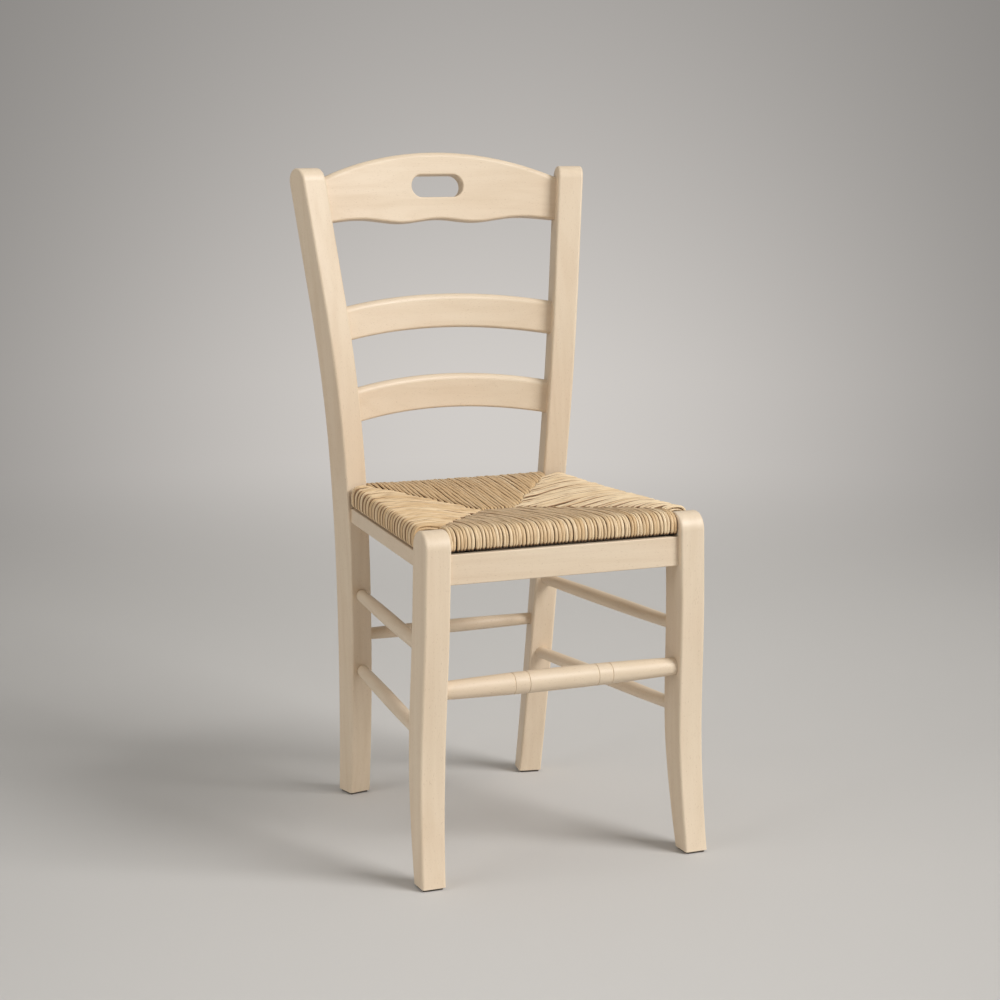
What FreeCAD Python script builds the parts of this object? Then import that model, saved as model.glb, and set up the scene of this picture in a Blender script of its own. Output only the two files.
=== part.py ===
import FreeCAD, Part
import math
import os

import Sketcher
from FreeCAD import Placement, Rotation, Vector

# Ladderback dining chair with a drop-in woven rush seat.
# Millimetres, +Z up, the chair faces -Y, left and right as seen from the front.
# The origin lies on the floor under the middle of the chair.
# All pieces are first laid out from the front face of the front legs, at y = 0,
# and then moved back together so that the origin comes to the middle.

doc = FreeCAD.newDocument("ladderback_chair")

# Driving dimensions

DIMENSIONS = [
    ("glide_thickness", 3.0, "plastic glide under each foot"),
    ("glide_inset", 2.5, "glide edge inside the edge of the foot"),
    ("leg_top", 451.5, "height of the front legs"),
    ("leg_spread_floor", 400.5, "front legs, outside to outside, at the floor"),
    ("leg_spread_top", 382.5, "front legs, outside to outside, at their tops"),
    ("leg_width", 34.0, "front leg seen from the front"),
    ("leg_foot_width", 31.5, "front leg at the floor"),
    ("leg_depth", 45.5, "front leg seen from the side"),
    ("leg_foot_depth", 31.5, "front leg at the floor, from the side"),
    ("leg_straight_from", 355.0, "height above which the front leg is straight"),
    ("leg_ankle_height", 150.0, "height of the leg's hollow front"),
    ("leg_ankle_hollow", 8.0, "hollow of the front face at the ankle"),
    ("leg_ankle_swell", 5.0, "swell of the back face at the ankle"),
    ("leg_foot_forward", 5.5, "foot in front of the straight leg"),
    ("leg_toe_slope", 0.16, "forward run of the toe's front face for each unit down"),
    ("leg_heel_slope", 0.24, "forward run of the heel's back face for each unit down"),
    ("seat_reach", 363.5, "front leg face to rear post face, at the bend"),
    ("post_height", 882.0, "height of the rear posts"),
    ("post_spread_floor", 296.0, "rear posts, outside to outside, at the floor"),
    ("post_spread_seat", 325.5, "rear posts at seat height"),
    ("post_spread_top", 419.0, "rear posts at their tops"),
    ("post_seat_height", 430.0, "height where the posts begin to spread more"),
    ("post_bend_height", 490.0, "height where the posts begin to lean back"),
    ("post_bend_radius", 1250.0, "radius of that bend"),
    ("post_lean_back", 43.0, "post top behind the bend"),
    ("post_foot_back", 46.5, "post foot behind the bend"),
    ("post_spread_ease", 100.0, "length of the eased corner at seat height, each way"),
    ("post_turn", 12.0, "posts turned inwards, degrees"),
    ("post_width", 32.6, "rear post seen from the front"),
    ("post_top_width", 35.4, "rear post at the top"),
    ("post_depth", 42.5, "rear post from the side, at the bend"),
    ("post_foot_depth", 33.0, "rear post from the side, at the floor"),
    ("post_top_depth", 40.0, "rear post from the side, at the top"),
    ("edge_round", 3.0, "rounding of long edges"),
    ("crest_height", 808.4, "underside of the crest rail at its ends"),
    ("crest_end", 63.0, "crest rail at its ends"),
    ("crest_middle", 98.2, "crest rail at its middle, from the base line"),
    ("crest_thick", 19.0, "crest rail thickness"),
    ("crest_bow", 14.0, "crest rail bowed backwards"),
    ("crest_setback", 16.0, "crest face behind the post face"),
    ("crest_scallop", 5.0, "rise of each hollow in the crest underside"),
    ("crest_lobe", 53.0, "lobes of the underside from the middle"),
    ("crest_round", 7.0, "rounding of the crest's top edges"),
    ("slot_length", 76.5, "handle slot"),
    ("slot_height", 31.0, "handle slot"),
    ("slot_centre", 50.9, "slot centre above the crest's base line"),
    ("slot_round", 2.0, "rounding of the slot's rims"),
    ("upper_slat_height", 648.9, "underside of the upper slat at its ends"),
    ("upper_slat_arch", 15.5, "rise of the upper slat at its middle"),
    ("lower_slat_height", 536.9, "underside of the lower slat at its ends"),
    ("lower_slat_arch", 13.5, "rise of the lower slat at its middle"),
    ("slat_end", 47.0, "slats at their ends"),
    ("slat_thick", 17.0, "slat thickness"),
    ("slat_bow", 20.0, "slats bowed backwards"),
    ("slat_setback", 13.5, "slat face behind the post face"),
    ("slat_round", 8.0, "rounding of the slat's top edges"),
    ("tenon_length", 18.0, "tenons into legs and posts"),
    ("tenon_thick", 9.0, "flat tenons"),
    ("tenon_shoulder", 6.0, "rail above and below its tenon"),
    ("glue_gap", 0.15, "play in each joint"),
    ("front_rail_top", 421.8, "top of the front and rear seat rails"),
    ("front_rail_height", 38.2, "front and rear seat rails"),
    ("front_rail_recess", 8.0, "front rail behind the leg face"),
    ("rear_rail_recess", 12.0, "rear rail behind the post's inner corner"),
    ("rail_thick", 22.0, "all seat rails"),
    ("side_rail_top", 421.5, "top of the side seat rails"),
    ("side_rail_height", 20.0, "side seat rails"),
    ("side_rail_recess", 4.0, "side rails inside the outer faces"),
    ("rail_round", 1.5, "rounding of the seat rails' long edges"),
    ("dowel_diameter", 8.0, "rail dowels"),
    ("dowel_length", 34.0, "rail dowels"),
    ("dowel_pitch", 18.0, "dowel to dowel in a rail"),
    ("front_bar_height", 248.0, "front stretcher"),
    ("front_bar_end", 23.0, "front stretcher diameter at its ends"),
    ("front_bar_middle", 29.0, "front stretcher diameter at its middle"),
    ("ring_inner", 48.0, "inner ring grooves from the middle"),
    ("ring_outer", 68.0, "outer ring grooves from the middle"),
    ("ring_width", 2.0, "ring groove width"),
    ("ring_depth", 0.8, "ring groove depth"),
    ("rear_bar_height", 235.0, "rear stretcher"),
    ("rear_bar_setback", 19.0, "rear stretcher behind the post's front face"),
    ("rear_bar_end", 16.2, "rear stretcher diameter at its ends"),
    ("rear_bar_middle", 19.2, "rear stretcher diameter at its middle"),
    ("upper_bar_height", 297.0, "upper side stretchers"),
    ("lower_bar_height", 187.3, "lower side stretchers"),
    ("side_bar_end", 16.2, "side stretcher diameter at its ends"),
    ("side_bar_middle", 19.0, "side stretcher diameter at its middle"),
    ("bar_socket", 17.0, "depth of the stretcher sockets"),
    ("rush_bottom", 423.4, "underside of the rush"),
    ("rush_thick", 29.6, "rush seat over its rolled edge"),
    ("rush_under_round", 7.0, "rounding under the rolled edge"),
    ("rush_over_round", 16.0, "rounding over the rolled edge"),
    ("rush_dish", 17.0, "seat centre below the rolled edge"),
    ("rush_layer", 4.0, "one layer of rush"),
    ("straw_reach", 0.9, "packing ends at this share of the way to the centre"),
    ("straw_aside", 2.0, "packing short of the creases"),
    ("rush_front", 8.5, "rolled front edge behind the leg face"),
    ("rush_rear", 32.5, "rolled rear edge behind the post face, at the bend"),
    ("rush_overhang", 2.5, "rolled side edge outside the side rail"),
    ("rush_gap", 0.5, "rush to legs and posts"),
    ("rush_level", 0.2, "level share of the way from edge to centre"),
    ("bridge_half", 25.0, "half the bridge between the two side gores"),
    ("weave_offset", 17.0, "line where front and back rush meet, behind the middle of the seat"),
    ("fit_gap", 0.3, "rush to the pieces inside it"),
    ("frame_clearance", 0.5, "drop-in frame to the notches for the posts"),
    ("frame_inset", 7.5, "drop-in frame inside the rolled edge"),
    ("frame_lift", 7.3, "drop-in frame above the underside of the rush"),
    ("frame_thick", 15.0, "rails of the drop-in frame"),
    ("frame_front_width", 38.0, "front rail of the drop-in frame"),
    ("frame_rear_width", 30.0, "rear rail of the drop-in frame"),
    ("frame_side_width", 46.0, "side rails of the drop-in frame"),
    ("frame_dowel", 6.0, "drop-in frame dowel diameter"),
    ("frame_dowel_length", 30.0, "drop-in frame dowels"),
    ("block_size", 62.0, "corner block along each rail"),
    ("block_height", 22.0, "corner blocks"),
    ("seat_screw_along", 26.0, "seat screw from the block's corner, along the cross rail"),
    ("seat_screw_off", 15.0, "seat screw from the cross rail's face"),
    ("seat_screw_sink", 1.0, "seat screw head below the block's face"),
    ("block_screw_sink", 4.0, "block screw head below the block's sloping face"),
    ("screw_diameter", 4.0, "screw shank"),
    ("screw_head", 8.0, "screw head diameter"),
    ("screw_rim", 0.5, "straight rim of a screw head"),
    ("screw_point", 4.0, "pointed end of a screw"),
    ("seat_screw_length", 40.0, "screws up into the drop-in frame"),
    ("block_screw_length", 30.0, "screws through the blocks into the rails"),
    ("nail_diameter", 2.0, "glide nail"),
    ("nail_head", 6.0, "glide nail head"),
    ("nail_head_thick", 1.0, "glide nail head thickness"),
    ("nail_sink", 0.8, "glide nail head above the floor"),
    ("nail_length", 18.0, "glide nail"),
]

sizes = doc.addObject("Spreadsheet::Sheet", "Sizes")
for row, (alias, number, note) in enumerate(DIMENSIONS, start=1):
    sizes.set("A%d" % row, note)
    sizes.set("B%d" % row, str(number))
    sizes.setAlias("B%d" % row, alias)
doc.recompute()


def size(alias):
    """A driving dimension, read from the sheet."""
    return float(sizes.get(alias))


# Outlines and solids

# Longer than the chair: how far outlines are drawn out and cutting tools run.
REACH = 2000.0
# Radius of the domed tops as a share of the depth: a little under half, so that two arcs fit.
DOME_SHARE = 0.475
# How far a rail or a tenon's root runs into the piece that it is cut to.
LAP = 12.0


def prism(edges, direction):
    """A solid made by drawing a closed outline along a direction."""
    face = Part.Face(Part.Wire(Part.__sortEdges__(edges)))
    return face.extrude(direction)


def polygon_edges(points):
    """Straight edges round a closed list of points."""
    closed = points + [points[0]]
    return [Part.makeLine(a, b) for a, b in zip(closed, closed[1:])]


def curve_through(points, start=None, end=None):
    """A smooth edge through points, with end directions where they are given."""
    spline = Part.BSplineCurve()
    if start is None:
        spline.interpolate(Points=points)
    else:
        spline.interpolate(Points=points, InitialTangent=start, FinalTangent=end)
    return spline.toShape()


def largest_solid(shape):
    """The biggest solid of a shape, without its offcuts."""
    return max(shape.Solids, key=lambda solid: solid.Volume)


def mirrored(shape):
    """The same piece for the other side of the chair."""
    return shape.mirror(Vector(0, 0, 0), Vector(1, 0, 0))


def blend(z, z_low, low, z_high, high):
    """The value at height z on a straight line between two heights."""
    return low + (high - low) * (z - z_low) / (z_high - z_low)


# Front legs

def leg_outer(z):
    """Half the distance between the outer faces of the front legs."""
    return blend(z, 0, size("leg_spread_floor") / 2, size("leg_top"), size("leg_spread_top") / 2)


def leg_inner(z):
    """Half the distance between the inner faces, above the ankle."""
    return leg_outer(z) - size("leg_width")


def front_leg_blank():
    """The left front leg before its sockets are cut: side outline by front outline."""
    bottom = size("glide_thickness")
    top = size("leg_top")
    straight = size("leg_straight_from")
    ankle = size("leg_ankle_height")
    depth = size("leg_depth")
    toe = -size("leg_foot_forward")
    heel = toe + size("leg_foot_depth")
    hollow = size("leg_ankle_hollow")
    swell = depth + size("leg_ankle_swell")
    ankle_width = size("leg_width")

    def side(y, z):
        return Vector(-REACH / 2, y, z)

    upright = Vector(0, 0, -1)
    toe_lead = Vector(0, -size("leg_toe_slope"), -1)
    heel_lead = Vector(0, -size("leg_heel_slope"), -1)
    side_edges = [
        Part.makeLine(side(0, top), side(0, straight)),
        curve_through([side(0, straight), side(hollow, ankle), side(toe, bottom)], upright, toe_lead),
        Part.makeLine(side(toe, bottom), side(heel, bottom)),
        curve_through([side(depth, straight), side(swell, ankle), side(heel, bottom)], upright, heel_lead),
        Part.makeLine(side(depth, straight), side(depth, top)),
        Part.makeLine(side(depth, top), side(0, top)),
    ]
    front_points = [
        Vector(-leg_outer(bottom), -REACH / 2, bottom),
        Vector(-leg_outer(top), -REACH / 2, top),
        Vector(-leg_outer(top) + ankle_width, -REACH / 2, top),
        Vector(-leg_outer(ankle) + ankle_width, -REACH / 2, ankle),
        Vector(-leg_outer(bottom) + size("leg_foot_width"), -REACH / 2, bottom),
    ]
    blank = prism(side_edges, Vector(REACH, 0, 0))
    blank = blank.common(prism(polygon_edges(front_points), Vector(0, REACH, 0)))
    blank = round_top(blank, DOME_SHARE * depth, top)
    return round_long_edges(blank)


def round_top(blank, radius, top):
    """Round the top over from front to back, so that the side shows an arch."""
    cross_edges = [
        edge for edge in blank.Edges
        if edge.BoundBox.ZMin > top - 0.5 and abs(edge.tangentAt(edge.FirstParameter).x) > 0.9
    ]
    return blank.makeFillet(radius, cross_edges)


def round_long_edges(blank):
    """Round every edge that climbs; the level edges at the foot stay sharp."""
    climbing = [edge for edge in blank.Edges if edge.BoundBox.ZLength > 1.0]
    return blank.makeFillet(size("edge_round"), climbing)


# Rear posts, laid out square and then turned inwards

TURN = math.radians(size("post_turn"))


def post_spread(z):
    """Outer front corner of the post from the middle of the chair."""
    seat = size("post_seat_height")
    if z < seat:
        return blend(z, 0, size("post_spread_floor") / 2, seat, size("post_spread_seat") / 2)
    return blend(z, seat, size("post_spread_seat") / 2, size("post_height"), size("post_spread_top") / 2)


def square_outer(z, y):
    """Sideways place of the outer corner in the turned frame."""
    return -post_spread(z) * math.cos(TURN) + y * math.sin(TURN)


def square_front(z, y):
    """Front-to-back place of the outer corner in the turned frame."""
    return post_spread(z) * math.sin(TURN) + y * math.cos(TURN)


def tangent_turn(start, radius, end):
    """Angle of an arc that leaves start straight up or down and then runs straight to end."""
    a = end[0] - start[0] - radius
    b = abs(end[1] - start[1])
    return math.acos(-radius / math.hypot(a, b)) - math.atan2(b, a)


class PostLine:
    """One long edge of the post from the side: a foot arc, a bend and a straight top."""

    def __init__(self, foot, bend, top):
        self.foot = foot
        self.bend = bend
        self.top = top
        self.radius = size("post_bend_radius")
        self.angle = tangent_turn(bend, self.radius, top)
        back = foot[0] - bend[0]
        drop = bend[1] - foot[1]
        self.foot_radius = (back * back + drop * drop) / (2 * back)

    def at(self, z):
        """Front-to-back place at height z."""
        rise = z - self.bend[1]
        if rise < 0:
            return self.bend[0] + self.foot_radius - math.sqrt(self.foot_radius ** 2 - rise ** 2)
        arc_rise = self.radius * math.sin(self.angle)
        if rise < arc_rise:
            return self.bend[0] + self.radius - math.sqrt(self.radius ** 2 - rise ** 2)
        arc_back = self.radius * (1 - math.cos(self.angle))
        return self.bend[0] + arc_back + (rise - arc_rise) * math.tan(self.angle)

    def lean(self, z):
        """Lean of the edge at height z, in degrees."""
        return math.degrees(math.atan((self.at(z + 1) - self.at(z - 1)) / 2))

    def edges(self, sideways):
        """The line as edges in the plane at one sideways place."""
        middle = (self.foot[1] + self.bend[1]) / 2
        arc_top = self.bend[1] + self.radius * math.sin(self.angle)
        arc_middle = self.bend[1] + self.radius * math.sin(self.angle / 2)

        def point(z):
            return Vector(sideways, self.at(z), z)

        return [
            Part.Arc(point(self.foot[1]), point(middle), point(self.bend[1])).toShape(),
            Part.Arc(point(self.bend[1]), point(arc_middle), point(arc_top)).toShape(),
            Part.makeLine(point(arc_top), Vector(sideways, self.top[0], self.top[1])),
        ]


def post_lines():
    """Front and back lines of the square post."""
    bottom = size("glide_thickness")
    bend = size("post_bend_height")
    top = size("post_height")
    reach = size("seat_reach")
    foot_y = reach + size("post_foot_back")
    top_y = reach + size("post_lean_back")
    foot = square_front(bottom, foot_y)
    middle = square_front(bend, reach)
    head = square_front(top, top_y)
    front = PostLine((foot, bottom), (middle, bend), (head, top))
    back = PostLine(
        (foot + size("post_foot_depth"), bottom),
        (middle + size("post_depth"), bend),
        (head + size("post_top_depth"), top),
    )
    return front, back


FRONT_LINE, BACK_LINE = post_lines()


def side_line(inward_low, inward_high):
    """Sideways line of the square post, inside its outer corner: floor, seat and top."""
    bottom = size("glide_thickness")
    seat = size("post_seat_height")
    top = size("post_height")
    reach = size("seat_reach")
    return [
        (square_outer(bottom, reach + size("post_foot_back")) + inward_low, bottom),
        (square_outer(seat, reach) + inward_low, seat),
        (square_outer(top, reach + size("post_lean_back")) + inward_high, top),
    ]


def bent_edges(points, ease, depth):
    """Two straight runs with an eased corner between them."""
    low, corner, high = [Vector(place, depth, z) for place, z in points]
    before = corner + (low - corner).normalize() * ease
    after = corner + (high - corner).normalize() * ease
    bow = Part.BezierCurve()
    bow.setPoles([before, corner, after])
    return [Part.makeLine(low, before), bow.toShape(), Part.makeLine(after, high)]


def rear_post_blank():
    """The left rear post before its sockets are cut."""
    ease = size("post_spread_ease")
    top = size("post_height")
    bottom = size("glide_thickness")
    start = -REACH / 2
    side_edges = FRONT_LINE.edges(start) + BACK_LINE.edges(start)
    for y_front, y_back, z in (
        (FRONT_LINE.foot[0], BACK_LINE.foot[0], bottom),
        (FRONT_LINE.top[0], BACK_LINE.top[0], top),
    ):
        side_edges.append(Part.makeLine(Vector(start, y_front, z), Vector(start, y_back, z)))
    outer = side_line(0, 0)
    inner = side_line(size("post_width"), size("post_top_width"))
    face_edges = bent_edges(outer, ease, start) + bent_edges(inner, ease, start)
    for end in (0, 2):
        (x_outer, z), (x_inner, _) = outer[end], inner[end]
        face_edges.append(Part.makeLine(Vector(x_outer, start, z), Vector(x_inner, start, z)))
    blank = prism(side_edges, Vector(REACH, 0, 0))
    blank = blank.common(prism(face_edges, Vector(0, REACH, 0)))
    blank = round_top(blank, DOME_SHARE * size("post_top_depth"), top)
    blank = round_long_edges(blank)
    blank.rotate(Vector(0, 0, 0), Vector(0, 0, 1), size("post_turn"))
    return blank


def post_corner(z, inward=0.0, backward=0.0):
    """A point of the left post at height z, from its outer front corner."""
    points = side_line(0, 0)
    low = points[0] if z < points[1][1] else points[1]
    high = points[1] if z < points[1][1] else points[2]
    across = blend(z, low[1], low[0], high[1], high[0]) + inward
    along = FRONT_LINE.at(z) + backward
    x = across * math.cos(TURN) - along * math.sin(TURN)
    y = across * math.sin(TURN) + along * math.cos(TURN)
    return Vector(x, y, z)


def post_width_at(z):
    """Width of the post at height z."""
    seat = size("post_seat_height")
    if z < seat:
        return size("post_width")
    return blend(z, seat, size("post_width"), size("post_height"), size("post_top_width"))


LEG_BLANK = front_leg_blank()
POST_BLANK = rear_post_blank()
FRAME_BLANKS = [LEG_BLANK, mirrored(LEG_BLANK), POST_BLANK, mirrored(POST_BLANK)]


# Crest rail and slats

def bowed_band(half, bow, front, thick, low, high, reach):
    """A board bent to an arc in plan: half span and bow at the posts, out to reach."""
    radius = (half * half + bow * bow) / (2 * bow)
    centre = bow - radius

    def plan(x, r):
        return Vector(x, centre + math.sqrt(r * r - x * x), low)

    inner = radius + front
    outer = radius + front + thick
    edges = [
        Part.Arc(plan(-reach, inner), plan(0, inner), plan(reach, inner)).toShape(),
        Part.makeLine(plan(reach, inner), plan(reach, outer)),
        Part.Arc(plan(reach, outer), plan(0, outer), plan(-reach, outer)).toShape(),
        Part.makeLine(plan(-reach, outer), plan(-reach, inner)),
    ]
    return prism(edges, Vector(0, 0, high - low))


def arch_height(x, half, end, middle):
    """Height at x of an arc that stands at end over half and at middle in the centre."""
    rise = middle - end
    radius = (half * half + rise * rise) / (2 * rise)
    return middle - radius + math.sqrt(radius * radius - x * x)


def arch_edge(half, end, middle, reach):
    """That arc as an edge, out to reach on both sides."""
    points = [Vector(x, -REACH / 2, arch_height(x, half, end, middle)) for x in (-reach, 0, reach)]
    return Part.Arc(*points).toShape()


def outline_prism(lower, upper):
    """A solid with the front outline between a lower and an upper edge."""
    low_ends = sorted((vertex.Point for vertex in lower.Vertexes), key=lambda point: point.x)
    high_ends = sorted((vertex.Point for vertex in upper.Vertexes), key=lambda point: point.x)
    edges = [lower, upper]
    edges += [Part.makeLine(low, high) for low, high in zip(low_ends, high_ends)]
    return prism(edges, Vector(0, REACH, 0))


def crest_underside(half, reach):
    """Hollows either side and in the middle, with two lobes on the base line."""
    rise = size("crest_scallop")
    lobe = size("crest_lobe")
    hollow = (half + lobe) / 2
    outline = [(reach, -rise * 0.6), (half, 0), (hollow, rise), (lobe, 0)]
    right = [Vector(x, -REACH / 2, z) for x, z in outline]
    left = [Vector(-point.x, point.y, point.z) for point in right]
    middle = Vector(0, -REACH / 2, rise)
    return curve_through(left + [middle] + right[::-1])


class BackPiece:
    """A bowed piece between the posts: its seat in the posts and its tenons."""

    def __init__(self, height, end, thick, bow, setback):
        self.height = height
        self.end = end
        self.thick = thick
        self.bow = bow
        middle = height + end / 2
        width = post_width_at(middle)
        self.corner = post_corner(height, post_width_at(height), setback)
        self.half = -self.corner.x
        self.lean = FRONT_LINE.lean(middle)
        self.inner = -post_corner(middle, width, setback + thick / 2).x
        self.reach = self.half + 5 * LAP

    def place(self, shape):
        """Lean a piece with the posts and lift it to its height."""
        shape.rotate(Vector(0, 0, 0), Vector(1, 0, 0), -self.lean)
        shape.translate(Vector(0, self.corner.y, self.height))
        return shape

    def tenons(self, play=0.0):
        """The flat tenons, larger by the play where they stand for their mortises."""
        shoulder = size("tenon_shoulder")
        thick = size("tenon_thick") + 2 * play
        low = shoulder - play
        high = self.end - shoulder + play
        tip = self.inner + size("tenon_length") + 2 * play
        front = (self.thick - thick) / 2
        band = bowed_band(self.half, self.bow, front, thick, low, high, tip)
        root = self.inner - LAP
        gap = Part.makeBox(2 * root, REACH, REACH, Vector(-root, -REACH / 2, -REACH / 2))
        return self.place(band.cut(gap))

    def board(self, outline, round_high, round_low):
        """The board between the posts, its long edges rounded, with its tenons."""
        band = bowed_band(self.half, self.bow, 0, self.thick, -self.end, 3 * self.end, self.reach)
        board = band.common(outline)
        long_edges = [edge for edge in board.Edges if edge.Length > self.half]
        level = self.end / 2
        high = [edge for edge in long_edges if edge.CenterOfMass.z > level]
        low = [edge for edge in long_edges if edge.CenterOfMass.z < level]
        board = board.makeFillet(round_high, high)
        low = [
            edge for edge in board.Edges
            if any(edge.CenterOfMass.distanceToPoint(old.CenterOfMass) < 0.5 for old in low)
        ]
        board = board.makeFillet(round_low, low)
        board = self.place(board)
        for blank in (POST_BLANK, mirrored(POST_BLANK)):
            board = board.cut(blank)
        return largest_solid(board).fuse(self.tenons()).removeSplitter()


CREST = BackPiece(
    size("crest_height"), size("crest_end"), size("crest_thick"), size("crest_bow"), size("crest_setback"))
UPPER_SLAT = BackPiece(
    size("upper_slat_height"), size("slat_end"), size("slat_thick"), size("slat_bow"), size("slat_setback"))
LOWER_SLAT = BackPiece(
    size("lower_slat_height"), size("slat_end"), size("slat_thick"), size("slat_bow"), size("slat_setback"))


def crest_shape():
    """The crest rail: arched top, scalloped underside and a handle slot."""
    top = arch_edge(CREST.half, size("crest_end"), size("crest_middle"), CREST.reach)
    underside = crest_underside(CREST.half, CREST.reach)
    board = CREST.board(outline_prism(underside, top), size("crest_round"), size("edge_round"))
    radius = size("slot_height") / 2
    straight = size("slot_length") / 2 - radius
    level = size("slot_centre")
    ends = []
    for side in (-1, 1):
        start = Vector(side * straight, -REACH / 2, level - radius)
        far = Vector(side * (straight + radius), -REACH / 2, level)
        finish = Vector(side * straight, -REACH / 2, level + radius)
        ends.append(Part.Arc(start, far, finish).toShape())
    rails = [
        Part.makeLine(Vector(-straight, -REACH / 2, z), Vector(straight, -REACH / 2, z))
        for z in (level - radius, level + radius)
    ]
    slot = CREST.place(prism(ends + rails, Vector(0, REACH, 0)))
    board = board.cut(slot)
    middle = CREST.place(Part.Vertex(0, CREST.bow + CREST.thick / 2, level)).Point
    rim = [
        edge for edge in board.Edges
        if edge.CenterOfMass.distanceToPoint(middle) < size("slot_length") / 2 + LAP
        and abs(edge.BoundBox.Center.x) < size("slot_length") / 2
        and edge.Length > radius
    ]
    return board.makeFillet(size("slot_round"), rim)


def slat_shape(slat, arch):
    """An arched slat."""
    end = size("slat_end")
    underside = arch_edge(slat.half, 0, arch, slat.reach)
    top = arch_edge(slat.half, end, end + arch, slat.reach)
    return slat.board(outline_prism(underside, top), size("slat_round"), size("edge_round"))


CREST_RAIL = crest_shape()

# Seat rails

RAIL_LEVEL = size("front_rail_top") - size("front_rail_height") / 2
REAR_RAIL_FRONT = post_corner(RAIL_LEVEL, size("post_width")).y + size("rear_rail_recess")


def soft_box(length, width, height, corner):
    """A board with lightly eased long edges, lying along X."""
    board = Part.makeBox(length, width, height, corner)
    long_edges = [edge for edge in board.Edges if edge.BoundBox.XLength > 1]
    return board.makeFillet(size("rail_round"), long_edges)


def side_rail_outer(y):
    """Outer face of the left side rail, as x at a given y."""
    level = size("side_rail_top") - size("side_rail_height") / 2
    recess = size("side_rail_recess")
    front = (-leg_outer(level) + recess, size("leg_depth"))
    rear_corner = post_corner(level)
    rear = (rear_corner.x + recess, rear_corner.y)
    return blend(y, front[1], front[0], rear[1], rear[0])


SIDE_START = Vector(side_rail_outer(0), 0, 0)
SIDE_RUN = Vector(side_rail_outer(REACH) - side_rail_outer(0), REACH, 0).normalize()
SIDE_ANGLE = math.degrees(math.atan2(SIDE_RUN.y, SIDE_RUN.x))


def along_side(shape):
    """Turn a piece that lies along X with its outer face at y = 0 into the side rail's place."""
    shape.mirror(Vector(0, 0, 0), Vector(0, 1, 0))
    shape.rotate(Vector(0, 0, 0), Vector(0, 0, 1), SIDE_ANGLE)
    shape.translate(SIDE_START)
    return shape


def side_tenons(play=0.0):
    """Tenons at both ends of the left side rail."""
    level = size("side_rail_top") - size("side_rail_height") / 2
    tall = size("side_rail_height") - size("tenon_shoulder") + 2 * play
    thick = size("tenon_thick") + 2 * play
    front = size("leg_depth") - size("tenon_length") - 2 * play
    rear = post_corner(level).y + size("tenon_length") + 2 * play
    middle = -size("rail_thick") / 2
    bar = Part.makeBox(rear - front, thick, tall, Vector(front, middle - thick / 2, level - tall / 2))
    gap_start = size("leg_depth") + LAP
    gap_end = post_corner(level).y - LAP
    gap = Part.makeBox(gap_end - gap_start, REACH, REACH, Vector(gap_start, -REACH / 2, 0))
    return along_side(bar.cut(gap))


def side_rail_shape():
    """The left side seat rail with a tenon into the leg and one into the post."""
    height = size("side_rail_height")
    corner = Vector(0, -size("rail_thick"), size("side_rail_top") - height)
    rail = along_side(soft_box(REACH / 4, size("rail_thick"), height, corner))
    for blank in (LEG_BLANK, POST_BLANK):
        rail = rail.cut(blank)
    middle = (size("leg_depth") + size("seat_reach")) / 2
    rail = min(rail.Solids, key=lambda solid: abs(solid.CenterOfMass.y - middle))
    return rail.fuse(side_tenons()).removeSplitter()


def dowel_places(front, inner):
    """Middle of each dowel of a cross rail: two at each end."""
    y = front + size("rail_thick") / 2
    pitch = size("dowel_pitch")
    places = []
    for side in (-1, 1):
        for z in (RAIL_LEVEL - pitch / 2, RAIL_LEVEL + pitch / 2):
            places.append(Vector(side * inner(z), y, z))
    return places


def rear_inner(z):
    """Half the gap between the posts where the rear rail's middle meets them."""
    back = (REAR_RAIL_FRONT + size("rail_thick") / 2 - post_corner(z, size("post_width")).y) / math.cos(TURN)
    return -post_corner(z, size("post_width"), back).x


def cylinders(places, length, diameter):
    """Level cylinders along X, each centred on its place."""
    return [
        Part.makeCylinder(diameter / 2, length, place - Vector(length / 2, 0, 0), Vector(1, 0, 0))
        for place in places
    ]


FRONT_DOWELS = dowel_places(size("front_rail_recess"), leg_inner)
REAR_DOWELS = dowel_places(REAR_RAIL_FRONT, rear_inner)


def dowel_solids(places, play=0.0):
    """Dowels, or their holes where play is given."""
    return cylinders(places, size("dowel_length") + 4 * play, size("dowel_diameter") + 2 * play)


# Stretchers

class Stretcher:
    """A turned bar from the middle of one socket to the middle of another."""

    def __init__(self, start, end, end_diameter, middle_diameter):
        self.run = end - start
        self.axis = Vector(self.run).normalize()
        self.end_diameter = end_diameter
        self.middle_diameter = middle_diameter
        socket = size("bar_socket")
        self.start = start - self.axis * socket
        self.length = self.run.Length + 2 * socket

    def socket_tool(self):
        """What the drill takes out for both ends."""
        play = size("glue_gap")
        start = self.start - self.axis * play
        return Part.makeCylinder(self.end_diameter / 2 + play, self.length + 2 * play, start, self.axis)

    def placement(self):
        """Where the lathe axis lies in the chair."""
        return Placement(self.start, Rotation(Vector(0, 0, 1), self.axis))


def post_middle(z, backward):
    """Point in the middle of the left post's width."""
    return post_corner(z, size("post_width") / 2, backward)


def side_bar(z):
    """A side stretcher of the left side at height z."""
    front = Vector(-leg_outer(z) + size("leg_width") / 2, size("leg_depth"), z)
    rear = post_middle(z, 0)
    return Stretcher(front, rear, size("side_bar_end"), size("side_bar_middle"))


def cross_bar(z, inner, y, end_diameter, middle_diameter):
    """A stretcher across the chair at height z."""
    return Stretcher(Vector(-inner, y, z), Vector(inner, y, z), end_diameter, middle_diameter)


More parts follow.
